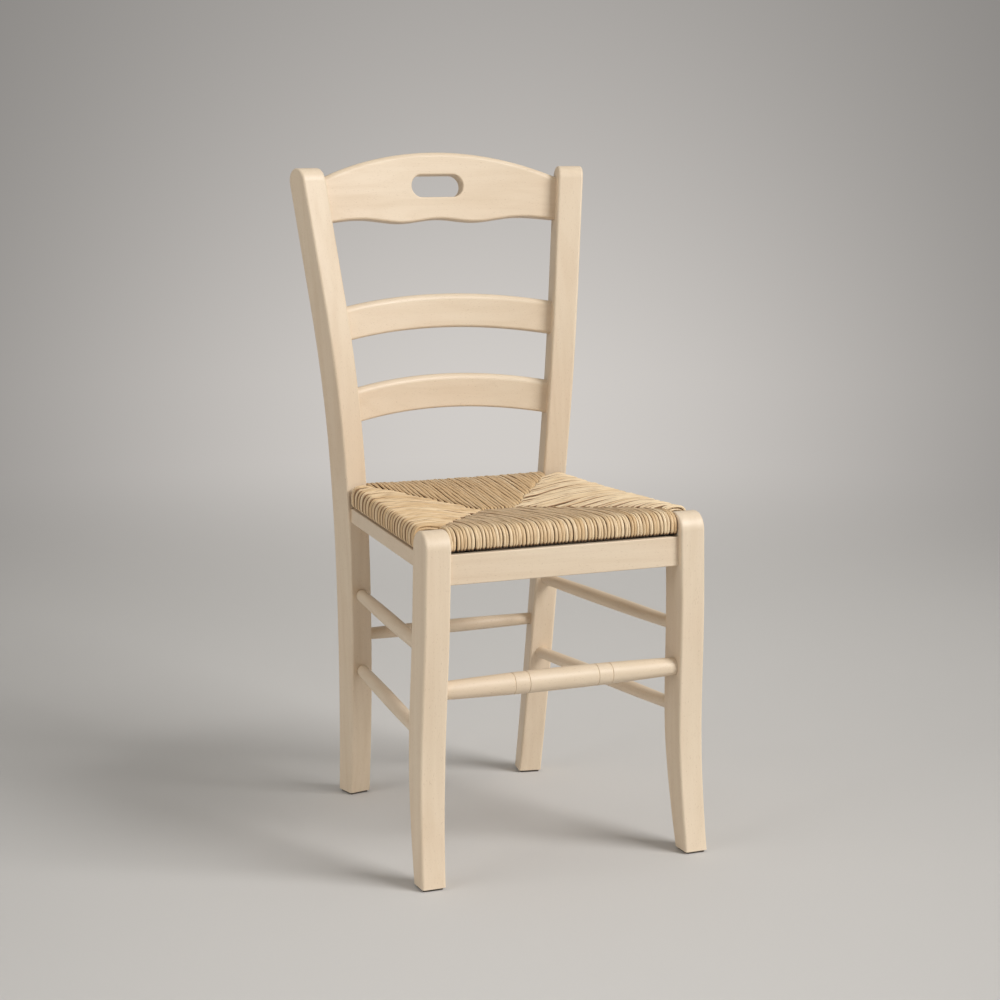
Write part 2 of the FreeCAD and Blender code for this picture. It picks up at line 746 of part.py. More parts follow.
FRONT_BAR = cross_bar(
    size("front_bar_height"), leg_inner(size("front_bar_height")), size("leg_depth") / 2,
    size("front_bar_end"), size("front_bar_middle"))
REAR_BAR_SEAT = post_corner(size("rear_bar_height"), size("post_width"), size("rear_bar_setback"))
REAR_BAR = cross_bar(
    size("rear_bar_height"), -REAR_BAR_SEAT.x, REAR_BAR_SEAT.y,
    size("rear_bar_end"), size("rear_bar_middle"))
UPPER_BAR = side_bar(size("upper_bar_height"))
LOWER_BAR = side_bar(size("lower_bar_height"))


# Drop-in seat

RUSH_TOP = size("rush_bottom") + size("rush_thick")
RUSH_FRONT = size("rush_front")
RUSH_REAR = size("seat_reach") + size("rush_rear")
WEAVE_CENTRE = (RUSH_FRONT + RUSH_REAR) / 2 + size("weave_offset")
LEG_GAP = min(leg_inner(RUSH_TOP), leg_inner(size("rush_bottom")))


def rush_side(y):
    """Outer edge of the left rolled side, as x at a given y."""
    return side_rail_outer(y) - size("rush_overhang")


CENTRE_LEFT = Vector(-size("bridge_half"), WEAVE_CENTRE, 0)
CENTRE_RIGHT = Vector(size("bridge_half"), WEAVE_CENTRE, 0)
FRONT_LEFT = Vector(rush_side(RUSH_FRONT), RUSH_FRONT, 0)
FRONT_RIGHT = Vector(-FRONT_LEFT.x, FRONT_LEFT.y, 0)
REAR_LEFT = Vector(rush_side(RUSH_REAR), RUSH_REAR, 0)
REAR_RIGHT = Vector(-REAR_LEFT.x, REAR_LEFT.y, 0)

GORES = {
    "front": [FRONT_LEFT, FRONT_RIGHT, CENTRE_RIGHT, CENTRE_LEFT],
    "rear": [REAR_RIGHT, REAR_LEFT, CENTRE_LEFT, CENTRE_RIGHT],
    "left": [REAR_LEFT, FRONT_LEFT, CENTRE_LEFT],
    "right": [FRONT_RIGHT, REAR_RIGHT, CENTRE_RIGHT],
}


def gore_solid(corners):
    """One of the four parts of the weave: a rolled edge, and a top that falls to the centre."""
    edge_start, edge_end, centre = corners[0], corners[1], corners[2]
    run = (edge_end - edge_start).normalize()
    inward = Vector(-run.y, run.x, 0)
    depth = (centre - edge_start).dot(inward)
    level = depth * size("rush_level")
    bottom = size("rush_bottom")
    start = edge_start - run * LAP

    def point(inwards, z):
        return start + inward * inwards + Vector(0, 0, z)

    under = size("rush_under_round")
    over = size("rush_over_round")
    short = 1 - math.sqrt(0.5)
    low = point(under, bottom)
    face_low = point(0, bottom + under)
    face_high = point(0, RUSH_TOP - over)
    high = point(over, RUSH_TOP)
    shoulder = point(max(level, over + 1), RUSH_TOP)
    centre_high = point(depth, RUSH_TOP - size("rush_dish"))
    centre_low = point(depth, bottom)
    edges = [
        Part.Arc(low, point(under * short, bottom + under * short), face_low).toShape(),
        Part.makeLine(face_low, face_high),
        Part.Arc(face_high, point(over * short, RUSH_TOP - over * short), high).toShape(),
    ]
    edges += [
        Part.makeLine(a, b)
        for a, b in zip([high, shoulder, centre_high, centre_low], [shoulder, centre_high, centre_low, low])
    ]
    strip = prism(edges, run * ((edge_end - edge_start).Length + 2 * LAP))
    plan = prism(polygon_edges(corners), Vector(0, 0, REACH))
    return strip.common(plan)


def leg_clearance():
    """What the left front leg takes out of the rush."""
    gap = size("rush_gap")
    inner = gap - LEG_GAP
    back = size("leg_depth") + gap
    return Part.makeBox(REACH / 2 + inner, REACH / 2 + back, REACH, Vector(-REACH / 2, -REACH / 2, 0))


def post_clearance():
    """What the left rear post takes out of the rush, at its own splay."""
    gap = size("rush_gap")
    wires = []
    aside = 4 * size("post_width")
    for z in (size("rush_bottom") - LAP, RUSH_TOP + LAP):
        width = size("post_width") + gap
        points = [
            post_corner(z, width, -gap),
            post_corner(z, -aside, -gap),
            post_corner(z, -aside, aside),
            post_corner(z, width, aside),
        ]
        wires.append(Part.makePolygon(points + [points[0]]))
    return Part.makeLoft(wires, True, True)


FRAME_WIDTHS = {
    "front": size("frame_front_width"),
    "rear": size("frame_rear_width"),
    "left": size("frame_side_width"),
    "right": size("frame_side_width"),
}


def straw_wedge(gore, grow=0.0):
    """The packing inside one gore: thick behind the frame rail, thin at the centre."""
    corners = GORES[gore]
    first, second, inner = corners[0], corners[1], corners[2:]
    run = (second - first).normalize()
    inward = Vector(-run.y, run.x, 0)
    depth = (inner[0] - first).dot(inward)
    start = size("frame_inset") + FRAME_WIDTHS[gore] + 2 * size("fit_gap") - grow
    stop = depth * size("straw_reach") + grow
    bottom = size("rush_bottom") + size("rush_layer") + size("fit_gap") - grow
    aside = size("straw_aside") - grow
    wires = []
    for inwards in (start, stop):
        share = inwards / depth
        left = first + (inner[-1] - first) * share + run * aside
        right = second + (inner[0] - second) * share - run * aside
        fall = max(0.0, (share - size("rush_level")) / (1 - size("rush_level"))) * size("rush_dish")
        top = RUSH_TOP - fall - size("rush_layer") - size("fit_gap") + grow
        lift = Vector(0, 0, bottom)
        up = Vector(0, 0, top)
        points = [left + lift, right + lift, right + up, left + up]
        wires.append(Part.makePolygon(points + [points[0]]))
    return Part.makeLoft(wires, True, True)


FRAME_BOTTOM = size("rush_bottom") + size("frame_lift")
FRAME_FRONT = RUSH_FRONT + size("frame_inset")
FRAME_REAR = RUSH_REAR - size("frame_inset")
SIDE_FRAME_START = FRAME_FRONT + size("frame_front_width")
SIDE_FRAME_END = FRAME_REAR - size("frame_rear_width")


def frame_front_half():
    """Half the length of the drop-in frame's front rail."""
    return LEG_GAP - size("rush_gap") - size("fit_gap")


def frame_rear_half():
    """Half the length of the drop-in frame's rear rail."""
    gap = size("rush_gap") + size("fit_gap")
    inner = -post_corner(size("rush_bottom"), size("post_width") + gap, 0).x
    return inner - size("frame_clearance")


def frame_side_points():
    """Plan of the left side rail of the drop-in frame."""
    outer = size("frame_inset")
    width = size("frame_side_width")
    points = []
    for inwards, y in ((outer, SIDE_FRAME_START), (outer, SIDE_FRAME_END),
                       (outer + width, SIDE_FRAME_END), (outer + width, SIDE_FRAME_START)):
        points.append(Vector(rush_side(y) + inwards, y, FRAME_BOTTOM))
    return points


# Pieces of the document

PIECES = []


def reach_of(shape):
    """Front and back ends of a curved form, measured on its surface."""
    depths = [point.y for point in shape.tessellate(0.05)[0]]
    return min(depths), max(depths)


def shift():
    """How far everything moves so that the origin lies under the middle."""
    back = max(reach_of(POST_BLANK)[1], reach_of(CREST_RAIL)[1])
    return -(reach_of(LEG_BLANK)[0] + back) / 2


SHIFT = Vector(0, shift(), 0)


def moved_back(shape):
    """Where a form laid out from the leg faces goes in the finished chair."""
    return Placement(SHIFT, Rotation()).multiply(shape.Placement)


def keep(piece, label):
    """Give a finished object its name and put it on the list of pieces."""
    piece.Label = label
    PIECES.append(piece)
    return piece


def shaped_piece(label, shape):
    """A piece whose form is drawn by curves of its own."""
    piece = doc.addObject("Part::Feature", label)
    piece.Shape = shape
    piece.Placement = moved_back(shape)
    return keep(piece, label)


def origin_plane(body, role):
    """A body's own origin plane."""
    return [plane for plane in body.Origin.OriginFeatures if plane.Role == role][0]


def new_sketch(body, role, name):
    """An empty sketch on one of the body's origin planes."""
    sketch = body.newObject("Sketcher::SketchObject", name)
    sketch.AttachmentSupport = [(origin_plane(body, role), "")]
    sketch.MapMode = "FlatFace"
    return sketch


def bind(sketch, constraint, expression):
    """Add a dimension to a sketch and bind it to the sheet."""
    index = sketch.addConstraint(constraint)
    sketch.setExpression("Constraints[%d]" % index, expression)


def close_loop(sketch, count):
    """Join the ends of the first lines of a sketch into a ring."""
    for index in range(count):
        sketch.addConstraint(Sketcher.Constraint("Coincident", index, 2, (index + 1) % count, 1))


def rectangle(sketch, width, depth, width_expression, depth_expression):
    """A rectangle centred on the sketch origin, with both sizes bound."""
    x, y = width / 2, depth / 2
    corners = [Vector(-x, -y, 0), Vector(x, -y, 0), Vector(x, y, 0), Vector(-x, y, 0)]
    for a, b in zip(corners, corners[1:] + corners[:1]):
        sketch.addGeometry(Part.LineSegment(a, b), False)
    close_loop(sketch, 4)
    for index in (0, 2):
        sketch.addConstraint(Sketcher.Constraint("Horizontal", index))
    for index in (1, 3):
        sketch.addConstraint(Sketcher.Constraint("Vertical", index))
    sketch.addConstraint(Sketcher.Constraint("Symmetric", 0, 1, 1, 2, -1, 1))
    bind(sketch, Sketcher.Constraint("DistanceX", 0, 1, 0, 2, width), width_expression)
    bind(sketch, Sketcher.Constraint("DistanceY", 1, 1, 1, 2, depth), depth_expression)


def turned_body(label, bar, rings=False):
    """A stretcher turned on a lathe: plain ends, a swelled middle and cut rings."""
    body = doc.addObject("PartDesign::Body", label)
    sheet = derived_cells(label, {
        "length": bar.length,
        "end_radius": bar.end_diameter / 2,
        "swell": (bar.middle_diameter - bar.end_diameter) / 2,
        "socket": size("bar_socket"),
    })
    sketch = new_sketch(body, "XZ_Plane", label + "_profile")
    radius = bar.end_diameter / 2
    swell = (bar.middle_diameter - bar.end_diameter) / 2
    socket = size("bar_socket")
    length = bar.length
    sketch.addGeometry(Part.LineSegment(Vector(0, 0, 0), Vector(radius, 0, 0)), False)
    sketch.addGeometry(Part.LineSegment(Vector(radius, 0, 0), Vector(radius, socket, 0)), False)
    arc = Part.Arc(
        Vector(radius, socket, 0), Vector(radius + swell, length / 2, 0), Vector(radius, length - socket, 0))
    sketch.addGeometry(arc, False)
    sketch.addGeometry(Part.LineSegment(Vector(radius, length - socket, 0), Vector(radius, length, 0)), False)
    sketch.addGeometry(Part.LineSegment(Vector(radius, length, 0), Vector(0, length, 0)), False)
    sketch.addGeometry(Part.LineSegment(Vector(0, length, 0), Vector(0, 0, 0)), False)
    for first, first_end, second, second_end in ((0, 2, 1, 1), (1, 2, 2, 1), (2, 2, 3, 1), (3, 2, 4, 1),
                                                 (4, 2, 5, 1), (5, 2, 0, 1)):
        sketch.addConstraint(Sketcher.Constraint("Coincident", first, first_end, second, second_end))
    sketch.addConstraint(Sketcher.Constraint("Coincident", 0, 1, -1, 1))
    for index in (0, 4):
        sketch.addConstraint(Sketcher.Constraint("Horizontal", index))
    for index in (1, 3, 5):
        sketch.addConstraint(Sketcher.Constraint("Vertical", index))
    sketch.addConstraint(Sketcher.Constraint("Equal", 1, 3))
    bind(sketch, Sketcher.Constraint("DistanceX", 0, 1, 0, 2, radius), sheet + ".end_radius")
    bind(sketch, Sketcher.Constraint("DistanceY", 1, 1, 1, 2, socket), sheet + ".socket")
    bind(sketch, Sketcher.Constraint("DistanceY", 5, 2, 5, 1, length), sheet + ".length")
    half = length / 2 - socket
    bind(
        sketch, Sketcher.Constraint("Radius", 2, (half * half + swell * swell) / (2 * swell)),
        "(({0}.length / 2 - {0}.socket) ^ 2 + {0}.swell ^ 2) / (2 * {0}.swell)".format(sheet))
    turning = body.newObject("PartDesign::Revolution", label + "_turning")
    turning.Profile = sketch
    turning.ReferenceAxis = (sketch, ["V_Axis"])
    turning.Angle = 360.0
    if rings:
        cut_rings(body, label, bar)
    body.Placement = bar.placement()
    body.Placement.Base += SHIFT
    return keep(body, label)


def cut_rings(body, label, bar):
    """Two pairs of ring grooves either side of the stretcher's middle."""
    radius = bar.middle_diameter / 2
    for number, offset in enumerate(("ring_inner", "ring_outer")):
        for side in (-1, 1):
            name = "%s_ring_%d_%s" % (label, number, "low" if side < 0 else "high")
            sketch = new_sketch(body, "XZ_Plane", name)
            place = bar.length / 2 + side * size(offset)
            surface = radius - ring_fall(bar, size(offset))
            depth = size("ring_depth")
            wide = size("ring_width") / 2
            points = [
                Vector(surface - depth, place, 0),
                Vector(surface + 1.0, place - 2 * wide, 0),
                Vector(surface + 1.0, place + 2 * wide, 0),
            ]
            for a, b in zip(points, points[1:] + points[:1]):
                sketch.addGeometry(Part.LineSegment(a, b), False)
            close_loop(sketch, 3)
            groove = body.newObject("PartDesign::Groove", name + "_groove")
            groove.Profile = sketch
            groove.ReferenceAxis = (sketch, ["V_Axis"])
            groove.Angle = 360.0


def ring_fall(bar, offset):
    """How much smaller the swelled bar is at an offset from its middle."""
    half = bar.length / 2 - size("bar_socket")
    swell = (bar.middle_diameter - bar.end_diameter) / 2
    radius = (half * half + swell * swell) / (2 * swell)
    return radius - math.sqrt(radius * radius - offset * offset)


def derived_cells(label, values):
    """Lengths that follow from the layout, kept in a sheet of their own for each piece."""
    name = "Of_" + label
    sheet = doc.addObject("Spreadsheet::Sheet", name)
    for row, (alias, number) in enumerate(values.items(), start=1):
        sheet.set("A%d" % row, alias)
        sheet.set("B%d" % row, str(number))
        sheet.setAlias("B%d" % row, alias)
    sheet.recompute()
    return name


def hidden_shape(name, shape):
    """A form that another piece is cut with or built on."""
    form = doc.addObject("Part::Feature", name)
    form.Shape = shape
    form.Placement = moved_back(shape)
    return form


def cut_piece(label, base, tools):
    """A piece with its sockets, mortises and screw holes cut out."""
    forms = [hidden_shape("%s_cut_%d" % (label, number), tool) for number, tool in enumerate(tools)]
    together = doc.addObject("Part::Compound", label + "_cuts")
    together.Links = forms
    cut = doc.addObject("Part::Cut", label)
    cut.Base = base
    cut.Tool = together
    return keep(cut, label)


def board_object(name, corner, length, width, height):
    """A rectangular board along X, its sizes bound to its own cells."""
    sheet = derived_cells(name, {"long": length, "wide": width, "tall": height})
    board = doc.addObject("Part::Box", name + "_board")
    board.Length = length
    board.setExpression("Length", sheet + ".long")
    board.setExpression("Width", sheet + ".wide")
    board.setExpression("Height", sheet + ".tall")
    board.Placement = Placement(corner + SHIFT, Rotation())
    return board


def eased_board(name, board, radius):
    """The board with its long edges rounded."""
    doc.recompute()
    long_edges = [
        (number, radius, radius) for number, edge in enumerate(board.Shape.Edges, start=1)
        if edge.BoundBox.XLength > 1.0
    ]
    eased = doc.addObject("Part::Fillet", name + "_eased")
    eased.Base = board
    eased.Edges = long_edges
    return eased


def sides(shape):
    """A piece of the left side and the same for the right."""
    return (("left", shape), ("right", mirrored(shape)))


# Screws and nails

SCREW_PLAY = 0.1
NAIL_PLAY = 0.05


def screw_solid(length, play=0.0):
    """A countersunk screw standing head down on the origin and pointing up."""
    head = size("screw_head") / 2 + play
    shank = size("screw_diameter") / 2 + play
    rim = size("screw_rim")
    cone = rim + (size("screw_head") - size("screw_diameter")) / 2
    blunt = size("screw_diameter") / 8 + play
    outline = [
        Vector(0, 0, -play),
        Vector(head, 0, -play),
        Vector(head, 0, rim),
        Vector(shank, 0, cone),
        Vector(shank, 0, length - size("screw_point")),
        Vector(blunt, 0, length + play),
        Vector(0, 0, length + play),
    ]
    face = Part.Face(Part.makePolygon(outline + [outline[0]]))
    return face.revolve(Vector(0, 0, 0), Vector(0, 0, 1), 360)


def placed(shape, start, direction):
    """A copy of an upright form, standing at start and pointing in a direction."""
    copy = shape.copy()
    copy.Placement = Placement(start, Rotation(Vector(0, 0, 1), direction))
    return copy


def nail_solid(play=0.0):
    """A glide nail, head down; with play it is the nail's hole, open below."""
    underside = size("nail_sink")
    head_top = underside + size("nail_head_thick") + play
    foot = -underside if play > 0.0 else underside
    head = Part.makeCylinder(size("nail_head") / 2 + play, head_top - foot, Vector(0, 0, foot))
    shank_length = size("nail_length") + play
    shank = Part.makeCylinder(size("nail_diameter") / 2 + play, shank_length, Vector(0, 0, underside))
    return head.fuse(shank).removeSplitter()


# Corner blocks and their screws

BLOCK_TOP = size("rush_bottom") - size("fit_gap")
BLOCK_BOTTOM = BLOCK_TOP - size("block_height")
BLOCK_SCREW_LEVEL = BLOCK_TOP - size("block_height") / 2


class CornerBlock:
    """A block in the left front or left rear corner of the seat rails."""

    def __init__(self, front):
        self.front = front
        self.toward = 1 if front else -1
        self.rail_face = size("front_rail_recess") + size("rail_thick") if front else REAR_RAIL_FRONT
        self.reach = size("block_size")
        self.corner = Vector(self.side_face(self.rail_face), self.rail_face, BLOCK_BOTTOM)
        self.along_rail = self.corner + Vector(self.reach, 0, 0)
        side_y = self.rail_face + self.toward * self.reach
        self.along_side = Vector(self.side_face(side_y), side_y, BLOCK_BOTTOM)

    def side_face(self, y):
        """Inner face of the side rail."""
        return side_rail_outer(y) + size("rail_thick") / SIDE_RUN.y

    def blank(self):
        """The block fitted round the leg or post."""
        edges = polygon_edges([self.corner, self.along_rail, self.along_side])
        block = prism(edges, Vector(0, 0, size("block_height")))
        return largest_solid(block.cut(LEG_BLANK if self.front else POST_BLANK))

    def seat_screw_foot(self):
        """Where the screw up into the drop-in frame enters the block."""
        x = self.corner.x + size("seat_screw_along")
        y = self.rail_face + self.toward * size("seat_screw_off")
        return Vector(x, y, BLOCK_BOTTOM + size("seat_screw_sink"))

    def on_slope(self, share):
        """A point of the sloping face, from the cross rail's end to the side rail's end."""
        point = self.along_rail + (self.along_side - self.along_rail) * share
        return Vector(point.x, point.y, BLOCK_SCREW_LEVEL)

    def rail_screws(self):
        """Start and direction of the two screws into the rails, a third along the slope from each end."""
        sink = size("block_screw_sink")
        into_cross = Vector(0, -self.toward, 0)
        into_side = Vector(-1, 0, 0)
        return [
            (self.on_slope(1 / 3) + into_cross * sink, into_cross),
            (self.on_slope(2 / 3) + into_side * sink, into_side),
        ]


BLOCKS = {"front": CornerBlock(True), "rear": CornerBlock(False)}


def seat_screws(play=0.0):
    """Screws up through the four blocks, or their holes."""
    screw = screw_solid(size("seat_screw_length"), play)
    left = [placed(screw, block.seat_screw_foot(), Vector(0, 0, 1)) for block in BLOCKS.values()]
    return left + [mirrored(piece) for piece in left]


def block_screws(play=0.0):
    """Screws through the blocks into the rails, or their holes."""
    screw = screw_solid(size("block_screw_length"), play)
    left = []
    for block in BLOCKS.values():
        left += [placed(screw, start, direction) for start, direction in block.rail_screws()]
    return left + [mirrored(piece) for piece in left]


def driver_ways():
    """Clearance holes from each block's faces to its recessed screw heads."""
    radius = size("screw_head") / 2 + 2 * SCREW_PLAY
    ways = []
    for block in BLOCKS.values():
        starts = [(block.seat_screw_foot(), Vector(0, 0, 1))] + block.rail_screws()
        for start, direction in starts:
            ways.append(Part.makeCylinder(radius, LAP, start - direction * LAP, direction))
    return ways


SCREW_HOLES = seat_screws(SCREW_PLAY) + block_screws(SCREW_PLAY)

# Feet

def front_foot():
    """Middle of the left front foot."""
    x = -leg_outer(0) + size("leg_foot_width") / 2
    y = -size("leg_foot_forward") + size("leg_foot_depth") / 2
    return Vector(x, y, 0)


def rear_foot():
    """Middle of the left rear foot."""
    middle = post_corner(size("glide_thickness"), size("post_width") / 2, size("post_foot_depth") / 2)
    return Vector(middle.x, middle.y, 0)


def glide(label, foot, turn, width, depth, mirror):
    """A plastic glide under one foot, inset from its edges."""
    inset = 2 * size("glide_inset")
    cells = derived_cells(label, {"wide": width - inset, "deep": depth - inset})
    body = doc.addObject("PartDesign::Body", label + "_pad")
    sketch = new_sketch(body, "XY_Plane", label + "_outline")
    rectangle(sketch, width - inset, depth - inset, cells + ".wide", cells + ".deep")
    pad = body.newObject("PartDesign::Pad", label + "_thickness")
    pad.Profile = sketch
    pad.Length = size("glide_thickness")
    pad.setExpression("Length", "Sizes.glide_thickness")
    doc.recompute()
    upright = [
        "Edge%d" % number for number, edge in enumerate(pad.Shape.Edges, start=1)
        if edge.BoundBox.ZLength > 1.0
    ]
    corners = body.newObject("PartDesign::Fillet", label + "_corners")
    corners.Base = (pad, upright)
    corners.Radius = size("edge_round")
    body.Tip = corners
    place = Vector(-foot.x, foot.y, 0) if mirror else foot
    turned = Rotation(Vector(0, 0, 1), -turn if mirror else turn)
    body.Placement = Placement(place + SHIFT, turned)
    hole = nail_solid(NAIL_PLAY)
    hole.translate(place)
    return cut_piece(label, body, [hole])


FEET = {
    "front": (front_foot(), 0.0, "leg_foot_width", "leg_foot_depth"),
    "rear": (rear_foot(), size("post_turn"), "post_width", "post_foot_depth"),
}


def nails(play=0.0):
    """The four glide nails, or their holes."""
    found = []
    for foot, _, _, _ in FEET.values():
        nail = nail_solid(play)
        nail.translate(foot)
        found += [nail, mirrored(nail)]
    return found


# Legs and posts

PLAY = size("glue_gap")
NAIL_HOLES = nails(NAIL_PLAY)


def reaching(shape, tools):
    """The tools that reach a piece."""
    box = shape.BoundBox
    return [tool for tool in tools if box.intersect(tool.BoundBox)]


def right_too(tools):
    """Tools of the left side with their mirror images."""
    return tools + [mirrored(tool) for tool in tools]


SIDE_SOCKETS = right_too([UPPER_BAR.socket_tool(), LOWER_BAR.socket_tool(), side_tenons(PLAY)])
LEG_TOOLS = SIDE_SOCKETS + [FRONT_BAR.socket_tool()] + dowel_solids(FRONT_DOWELS, PLAY) + NAIL_HOLES
POST_TOOLS = SIDE_SOCKETS + [REAR_BAR.socket_tool()] + dowel_solids(REAR_DOWELS, PLAY) + NAIL_HOLES
POST_TOOLS += [piece.tenons(PLAY) for piece in (CREST, UPPER_SLAT, LOWER_SLAT)]

for side, blank in sides(LEG_BLANK):
    label = "front_leg_" + side
    cut_piece(label, hidden_shape(label + "_blank", blank), reaching(blank, LEG_TOOLS))
for side, blank in sides(POST_BLANK):
    label = "rear_post_" + side
    cut_piece(label, hidden_shape(label + "_blank", blank), reaching(blank, POST_TOOLS))

# Back

shaped_piece("crest_rail", CREST_RAIL)
shaped_piece("upper_slat", slat_shape(UPPER_SLAT, size("upper_slat_arch")))
shaped_piece("lower_slat", slat_shape(LOWER_SLAT, size("lower_slat_arch")))

# Seat rails, dowels and corner blocks


def cross_rail_piece(label, front, inner, blanks, dowels):
    """A seat rail across the chair, scribed to the legs or posts and drilled for its dowels."""
    half = inner + LAP / 2
    height = size("front_rail_height")
    corner = Vector(-half, front, size("front_rail_top") - height)
    board = board_object(label, corner, 2 * half, size("rail_thick"), height)
    eased = eased_board(label, board, size("rail_round"))
    holes = dowel_solids(dowels, PLAY) + block_screws(SCREW_PLAY)
    space = Part.makeBox(2 * half, size("rail_thick"), height, corner)
    scribed = doc.addObject("Part::Cut", label + "_scribed")
    scribed.Base = eased
    posts = doc.addObject("Part::Compound", label + "_ends")
    posts.Links = [hidden_shape("%s_end_%d" % (label, number), blank) for number, blank in enumerate(blanks)]
    scribed.Tool = posts
    return cut_piece(label, scribed, reaching(space, holes))


cross_rail_piece(
    "front_seat_rail", size("front_rail_recess"), leg_inner(RAIL_LEVEL), FRAME_BLANKS[:2], FRONT_DOWELS)
cross_rail_piece("rear_seat_rail", REAR_RAIL_FRONT, rear_inner(RAIL_LEVEL), FRAME_BLANKS[2:], REAR_DOWELS)

for side, rail in sides(side_rail_shape()):
    label = "side_seat_rail_" + side
    cut_piece(label, hidden_shape(label + "_blank", rail), reaching(rail, block_screws(SCREW_PLAY)))

for place, block in BLOCKS.items():
    for side, blank in sides(block.blank()):
        label = "corner_block_%s_%s" % (place, side)
        tools = reaching(blank, SCREW_HOLES + right_too(driver_ways()))
        cut_piece(label, hidden_shape(label + "_blank", blank), tools)


def dowel_group(label, places, length_cell, diameter_cell, direction):
    """Dowels of one size as one node."""
    pins = []
    for number, place in enumerate(places):
        pin = doc.addObject("Part::Cylinder", "%s_%d" % (label, number))
        pin.setExpression("Radius", "Sizes.%s / 2" % diameter_cell)
        pin.setExpression("Height", "Sizes." + length_cell)
        start = place - direction * (size(length_cell) / 2)
        pin.Placement = Placement(start + SHIFT, Rotation(Vector(0, 0, 1), direction))
        pins.append(pin)
    group = doc.addObject("Part::Compound", label)
    group.Links = pins
    return keep(group, label)


dowel_group("front_rail_dowels", FRONT_DOWELS, "dowel_length", "dowel_diameter", Vector(1, 0, 0))
dowel_group("rear_rail_dowels", REAR_DOWELS, "dowel_length", "dowel_diameter", Vector(1, 0, 0))

# Stretchers


def mirrored_bar(bar):
    """The same stretcher on the right side."""
    socket = bar.axis * size("bar_socket")
    start = bar.start + socket
    end = start + bar.run
    start.x, end.x = -start.x, -end.x
    return Stretcher(start, end, bar.end_diameter, bar.middle_diameter)


turned_body("front_stretcher", FRONT_BAR, rings=True)
turned_body("rear_stretcher", REAR_BAR)
for level, bar in (("upper", UPPER_BAR), ("lower", LOWER_BAR)):
    turned_body("side_stretcher_%s_left" % level, bar)
    turned_body("side_stretcher_%s_right" % level, mirrored_bar(bar))

# Drop-in seat

FRAME_FRONT_HALF = frame_front_half()
FRAME_REAR_HALF = frame_rear_half()
SIDE_FRAME = prism(polygon_edges(frame_side_points()), Vector(0, 0, size("frame_thick")))
DOWEL_LEVEL = FRAME_BOTTOM + size("frame_thick") / 2


def frame_joint(y, rail_half):
    """Middle of the lap between a cross rail's end and the side rail's inner edge."""
    inner_edge = rush_side(y) + size("frame_inset") + size("frame_side_width")
    return Vector((-rail_half + inner_edge) / 2, y, DOWEL_LEVEL)


FRAME_DOWELS = []
for joint in (frame_joint(SIDE_FRAME_START, FRAME_FRONT_HALF), frame_joint(SIDE_FRAME_END, FRAME_REAR_HALF)):
    FRAME_DOWELS += [joint, Vector(-joint.x, joint.y, joint.z)]


def frame_dowel_holes():
    """Holes for the dowels of the drop-in frame."""
    length = size("frame_dowel_length") + 4 * PLAY
    radius = size("frame_dowel") / 2 + PLAY
    return [
        Part.makeCylinder(radius, length, place - Vector(0, length / 2, 0), Vector(0, 1, 0))
        for place in FRAME_DOWELS
    ]


FRAME_HOLES = frame_dowel_holes() + seat_screws(SCREW_PLAY)


def frame_cross_rail(label, front, half, width):
    """Front or rear rail of the drop-in frame; returns the space that it fills."""
    corner = Vector(-half, front, FRAME_BOTTOM)
    board = board_object(label, corner, 2 * half, width, size("frame_thick"))
    space = Part.makeBox(2 * half, width, size("frame_thick"), corner)
    cut_piece(label, board, reaching(space, FRAME_HOLES))
    return space


FRAME_FRONT_SPACE = frame_cross_rail(
    "seat_frame_front", FRAME_FRONT, FRAME_FRONT_HALF, size("frame_front_width"))
FRAME_REAR_SPACE = frame_cross_rail(
    "seat_frame_rear", SIDE_FRAME_END, FRAME_REAR_HALF, size("frame_rear_width"))
for side, blank in sides(SIDE_FRAME):
    label = "seat_frame_" + side
    cut_piece(label, hidden_shape(label + "_blank", blank), reaching(blank, FRAME_HOLES))
dowel_group("seat_frame_dowels", FRAME_DOWELS, "frame_dowel_length", "frame_dowel", Vector(0, 1, 0))


def around(box, gap):
    """The space of a level board with a gap on every side."""
    bounds = box.BoundBox
    low = Vector(bounds.XMin - gap, bounds.YMin - gap, bounds.ZMin - gap)
    return Part.makeBox(bounds.XLength + 2 * gap, bounds.YLength + 2 * gap, bounds.ZLength + 2 * gap, low)


def side_frame_space(gap):
    """The space of the left side rail of the drop-in frame with a gap on every side."""
    corners = ((-1, -1), (-1, 1), (1, 1), (1, -1))
    grow = [Vector(x * gap, y * gap, -gap) for x, y in corners]
    points = [point + move for point, move in zip(frame_side_points(), grow)]
    return prism(polygon_edges(points), Vector(0, 0, size("frame_thick") + 2 * gap))


def rush_shape():
    """The woven rush: four gores round the frame and the packing, notched for legs and posts."""
    gap = size("fit_gap")
    gores = [gore_solid(corners) for corners in GORES.values()]
    rush = gores[0].multiFuse(gores[1:])
    notches = [leg_clearance(), post_clearance()]
    notches += [mirrored(notch) for notch in notches]
    rush = largest_solid(rush.cut(notches))
    spaces = [around(FRAME_FRONT_SPACE, gap), around(FRAME_REAR_SPACE, gap)]
    spaces += [side_frame_space(gap), mirrored(side_frame_space(gap))]
    spaces += [straw_wedge(gore, gap) for gore in GORES]
    hollow = spaces[0].multiFuse(spaces[1:])
    radius = size("screw_diameter") / 2 + gap
    holes = [
        Part.makeCylinder(radius, FRAME_BOTTOM - BLOCK_BOTTOM, block.seat_screw_foot())
        for block in BLOCKS.values()
    ]
    return largest_solid(rush.cut(hollow).cut(right_too(holes)))


def straw_shape():
    """The packing of the four gores, clear of the side rails of the frame."""
    clear = 2 * size("fit_gap")
    rails = [side_frame_space(clear), mirrored(side_frame_space(clear))]
    return Part.makeCompound([straw_wedge(gore).cut(rails) for gore in GORES])


shaped_piece("straw_packing", straw_shape())
shaped_piece("rush_seat", rush_shape())

# Screws, glides and nails

